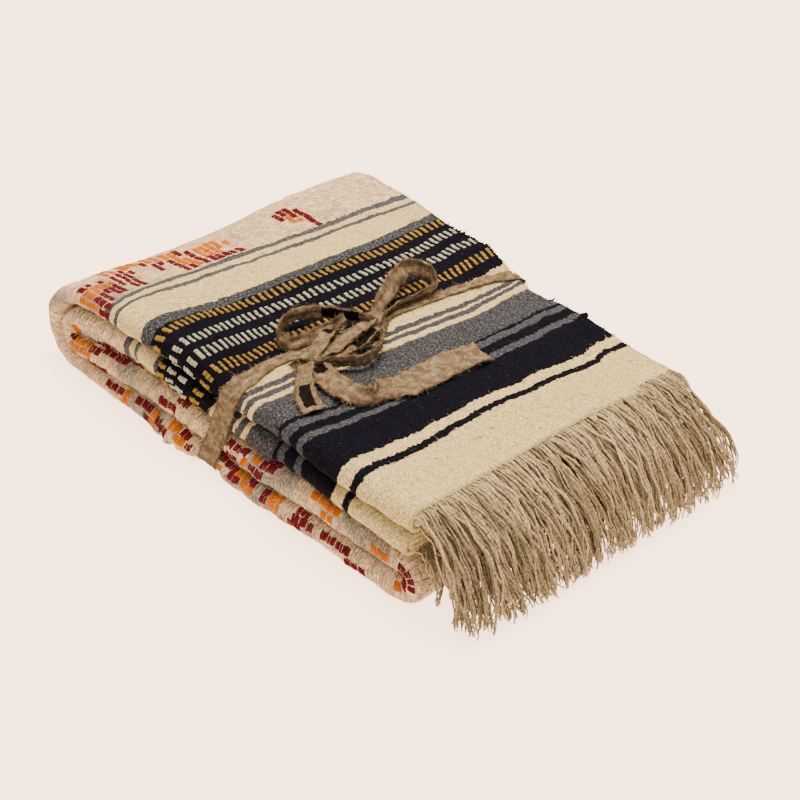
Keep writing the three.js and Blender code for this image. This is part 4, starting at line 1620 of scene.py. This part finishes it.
@dataclass
class RibbonTie:
    """The linen ribbon: a crumpled band round the pack, a knot over it, loops, and two free ends.

    Over the top, pairs of even y and a size give the band's width and where its middle lies.
    """

    form: PackForm
    width: float = 23.0
    thick: float = 0.9
    gap: float = 0.9
    columns: int = 11
    spacing: float = 3.5
    over_widths: tuple[Pair, ...] = (
        (-170, 21), (-150, 19), (-128, 14), (-105, 11.5), (-60, 11), (60, 10), (120, 10), (150, 13),
        (175, 20))
    over_middles: tuple[Pair, ...] = (
        (-170, 17), (-150, 13), (-116, 9), (-79, 13), (0, 18), (23, 10), (73, 11), (137, 4), (159, 9),
        (175, 16))
    over_zone: Pair = (0.6, 0.95)
    far_corner: float = 2.0
    band_lift: Pair = (0.5, 0.9)
    band_crumple: Pair = (0.2, 0.45)
    band_seed: int = 15
    fray_pitch: float = 0.5
    fray_reach: Pair = (0.6, 2.6)
    fray_radius: float = 0.21
    tape: Draft = field(default_factory=Draft)
    frays: Draft = field(default_factory=Draft)

    def build(self, linen: bpy.types.Material) -> tuple[bpy.types.Object, bpy.types.Object]:
        """Makes the tape in one mesh and the frayed threads of its edges in another, and dresses both.

        Args:
            linen: Their finish.

        Returns:
            The tape and the threads.
        """
        self._band()
        for seed, run in enumerate(BOW_RUNS):
            self._run(run, seed)
        return (dressed(self.tape.build("ribbon_linen"), linen, Slot.RIBBON, "ribbon_tie"),
                dressed(self.frays.build("ribbon_frays"), linen, Slot.RIBBON))

    def _strip(self, middle: Array, across: Array, face: Array, width: Array, seed: int,
               crumple: Array | float, start: Pair) -> None:
        """Adds a crumpled strip with a thickness, and the frayed threads of its edges.

        Args:
            middle: Points along the strip's middle.
            across: The way of its width at each point.
            face: The way it looks at each point.
            width: Its width at each point.
            seed: Which crumples it has.
            crumple: How high they are.
            start: Its surface coordinates at the start of its middle.
        """
        along = np.concatenate([[0.0], np.linalg.norm(np.diff(middle, axis=0), axis=1).cumsum()])
        u, v = np.meshgrid(along, np.linspace(-0.5, 0.5, self.columns), indexing="ij")
        place = np.stack([u, v * width[:, None]], -1)
        height = np.broadcast_to(crumple, along.shape)[:, None]
        pleat = np.sin(v * 9 + 1.5 * ripple(np.stack([u, 0 * v], -1), 40, 90 + seed))
        relief = height * (ripple(place, 16, 30 + seed) + 0.5 * ripple(place, 6, 50 + seed) + 0.8 * pleat)
        edge = 1 + 0.05 * ripple(np.stack([u, 9 * np.sign(v)], -1), 9, 70 + seed)
        points = (middle[:, None] + across[:, None] * (v * width[:, None] * edge)[..., None]
                  + face[:, None] * relief[..., None])
        half, flat = face[:, None] * self.thick / 2, (place + np.array(start)) / MM_PER_M
        self.tape.sheet(points + half, points - half, flat)
        self._fray(points, across, flat, seed)

    def _fray(self, points: Array, across: Array, flat: Array, seed: int) -> None:
        """Adds short loose threads along both edges of a strip.

        Args:
            points: The strip's points, by row and column.
            across: The way of its width at each row.
            flat: Its points' surface coordinates.
            seed: Which threads they are.
        """
        draw = np.random.default_rng(200 + seed)
        for column, side in ((0, -1), (-1, 1)):
            edge, away = points[:, column], across * side
            count = int(np.linalg.norm(np.diff(edge, axis=0), axis=1).sum() / self.fray_pitch)
            at = np.sort(draw.uniform(0, len(edge) - 1.001, count))
            low, part = at.astype(int), (at % 1)[:, None]
            root = edge[low] * (1 - part) + edge[low + 1] * part
            heading = unit(away[low] + draw.normal(0, 0.55, (count, 3)))
            length = draw.uniform(*self.fray_reach, (count, 1, 1))
            length = length * (1 + (draw.random((count, 1, 1)) < 0.06) * 1.8)
            share = np.linspace(0, 1, 3)[None, :, None]
            curl = draw.normal(0, 0.35, (count, 1, 3))
            way = (heading[:, None] + curl * share) * length * share
            lines = root[:, None] - away[low][:, None] * 0.4 + way
            places = np.broadcast_to(flat[low, column][:, None] + np.array([0, 0.1]), (count, 3, 2))
            self.frays.tubes(lines, np.full((count, 3), self.fray_radius), 3, places)

    def _corner(self, rank: int, start: float, end: float) -> list[Pair]:
        """The band's way round a roll on the near side.

        Args:
            rank: The roll's level.
            start: The angle it starts at.
            end: The angle it ends at.

        Returns:
            Its (y, z).
        """
        middle_y, middle_z = self.form.roll_y, self.form.level_z(rank)
        radius = self.form.half_level + self.gap
        return [(middle_y + radius * math.cos(angle), middle_z + radius * math.sin(angle))
                for angle in np.linspace(start, end, 8)]

    def _band_line(self) -> Array:
        """The band's way round the evenly folded pack.

        Returns:
            Its (y, z), from its foot on the near side and back to it.
        """
        form = self.form
        far_y, top_z = form.width / 2 + self.gap + 0.4, form.height + self.gap
        under = self.thick - form.recess_depth
        foot = math.pi + math.asin((form.level_z(0) - under) / (form.half_level + self.gap))
        outline = [*self._corner(0, foot, math.pi), *self._corner(3, math.pi, math.pi / 2),
                   (far_y - self.far_corner, top_z), (far_y, top_z - self.far_corner),
                   (far_y, 1.5), (far_y - 1, under),
                   (form.roll_y, under)]
        outline.append(outline[0])
        line = []
        for start, end in zip(outline, outline[1:]):
            steps = max(1, round(math.dist(start, end) / self.spacing))
            line.extend(np.linspace(start, end, steps, endpoint=False))
        return np.array([*line, outline[0]])

    def _band(self) -> None:
        """Adds the band round the pack."""
        form = self.form
        y, z = self._band_line().T
        over = smoothstep(z, *(form.height * share for share in self.over_zone))
        widths = np.interp(y, *zip(*self.over_widths)) * over + self.width * (1 - over)
        places = np.interp(y, *zip(*self.over_middles)) * over + (form.ribbon_x - 2) * (1 - over)
        middle = form.settle(places, y, z)
        ahead = unit(np.gradient(middle, axis=0))
        across = np.tile([1.0, 0.0, 0.0], (len(y), 1))
        face = unit(np.cross(across, ahead))
        face = face * np.sign(((middle - middle.mean(0)) * face).sum(-1, keepdims=True).mean())
        out, crumple = (low + more * over for low, more in (self.band_lift, self.band_crumple))
        self._strip(middle + face * out[:, None], across, face, widths, self.band_seed, crumple, UNPRINTED)

    def _run(self, run: TapeRun, seed: int) -> None:
        """Adds one loop, wrap or end of the bow.

        Args:
            run: The run.
            seed: Which crumples it has.
        """
        line = curve_through(np.array(run.rows, float), 8)
        middle = self.form.over_top(line[:, :3])
        ahead = unit(np.gradient(middle, axis=0))
        level = unit(np.stack([-ahead[:, 1], ahead[:, 0], 0 * ahead[:, 0]], -1))
        upright = line[:, 4:5]
        across = unit(level * (1 - upright) + np.array([0, 0, 1.0]) * upright)
        face = unit(np.cross(across, ahead))
        start = UNPRINTED if run.printed is None else (-run.printed, 0.0)
        self._strip(middle, across, face, line[:, 3], seed, run.crumple, start)


@dataclass(frozen=True)
class Lamp:
    """A round, soft lamp: its name, its place and size in metres, and its power in watts."""

    name: str
    place: Triple
    size: float
    power: float


@dataclass
class Studio:
    """Pale floor, soft light and the camera at the photo's viewing angle."""

    azimuth: float = 48.4
    elevation: float = 33.9
    distance: float = 2027.0
    target: Triple = (0.0, 0.0, 45.0)
    aside: float = 33.9
    above: float = -32.6
    lens: float = 103.5
    floor_reach: float = 9.0
    floor_drop: float = 0.0002
    tint: Triple = (1.0, 0.79, 0.6)
    room: float = 1.2
    lamps: tuple[Lamp, ...] = (
        Lamp("key", (-0.3, 0.5, 2.4), 1.6, 230.0), Lamp("fill", (1.6, -1.8, 1.4), 1.8, 8.0))

    def build(self) -> None:
        """Sets the camera first, then the floor, the room's light and the lamps."""
        self._camera()
        self._floor()
        self._room()
        for lamp in self.lamps:
            self._lamp(lamp)

    def _floor(self) -> None:
        """Lays the floor."""
        reach = self.floor_reach
        mesh = bpy.data.meshes.new("floor")
        corners = [(-reach, -reach, 0), (reach, -reach, 0), (reach, reach, 0), (-reach, reach, 0)]
        mesh.from_pydata(corners, [], [(0, 1, 2, 3)])
        floor = placed("floor", mesh)
        floor.location.z = -self.floor_drop
        floor.data.materials.append(FloorFinish().make())

    def _room(self) -> None:
        """Fills the room with even light."""
        world = bpy.data.worlds.new("room")
        world.use_nodes = True
        backdrop = world.node_tree.nodes["Background"]
        backdrop.inputs["Color"].default_value = (*self.tint, 1.0)
        backdrop.inputs["Strength"].default_value = self.room
        bpy.context.scene.world = world

    def _lamp(self, lamp: Lamp) -> None:
        """Hangs a lamp that looks at the throw.

        Args:
            lamp: The lamp.
        """
        light = bpy.data.lights.new(lamp.name, "AREA")
        light.shape, light.size, light.energy = "DISK", lamp.size, lamp.power
        light.color = self.tint
        holder = placed(lamp.name, light)
        holder.location = lamp.place
        holder.rotation_euler = (-Vector(lamp.place)).to_track_quat("-Z", "Y").to_euler()

    def _camera(self) -> None:
        """Places the camera."""
        turn, rise = math.radians(self.azimuth), math.radians(self.elevation)
        back = Vector((math.sin(turn) * math.cos(rise), -math.cos(turn) * math.cos(rise), math.sin(rise)))
        right = Vector((math.cos(turn), math.sin(turn), 0))
        up = back.cross(right)
        place = Vector(self.target) + right * self.aside + up * self.above + back * self.distance
        camera = bpy.data.cameras.new("camera")
        camera.lens, camera.sensor_width = self.lens, 36.0
        camera.clip_start, camera.clip_end = 0.05, 60.0
        holder = placed("camera", camera)
        holder.location = Vector(to_row(np.array(place)).tolist())
        holder.rotation_euler = (-back).to_track_quat("-Z", "Y").to_euler()
        bpy.context.scene.camera = holder


def main() -> None:
    """Builds every piece of the throw in order, and reports it."""
    logging.basicConfig(level=logging.INFO, format="%(message)s")
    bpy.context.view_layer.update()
    Studio().build()

    form = PackForm()
    throw = WoolThrow(form)
    wool = WoolFinish(form.path.length).make()
    cloth = throw.build(wool)
    fuzz = WoolFuzz(throw).build(wool)
    motifs = MotifYarns(throw)
    floats = [motifs.build(dye) for dye in Dye]
    yarn = YarnFinish("fringe_wool", "a2967a", "6a6150", uneven=0.8).make()
    upper = Fringe(form, "fringe_upper", rank=3, facing=1, rows=UPPER_ROWS, seed=21).build(yarn)
    lower = Fringe(form, "fringe_lower", rank=2, facing=-1, rows=LOWER_ROWS, seed=22).build(yarn)
    ribbon, frays = RibbonTie(form).build(LinenFinish().make())
    for piece in (cloth, fuzz, *floats, upper, lower, ribbon, frays):
        LOG.info("%s: %d faces", piece.name, len(piece.data.polygons))


if __name__ == "__main__":
    main()
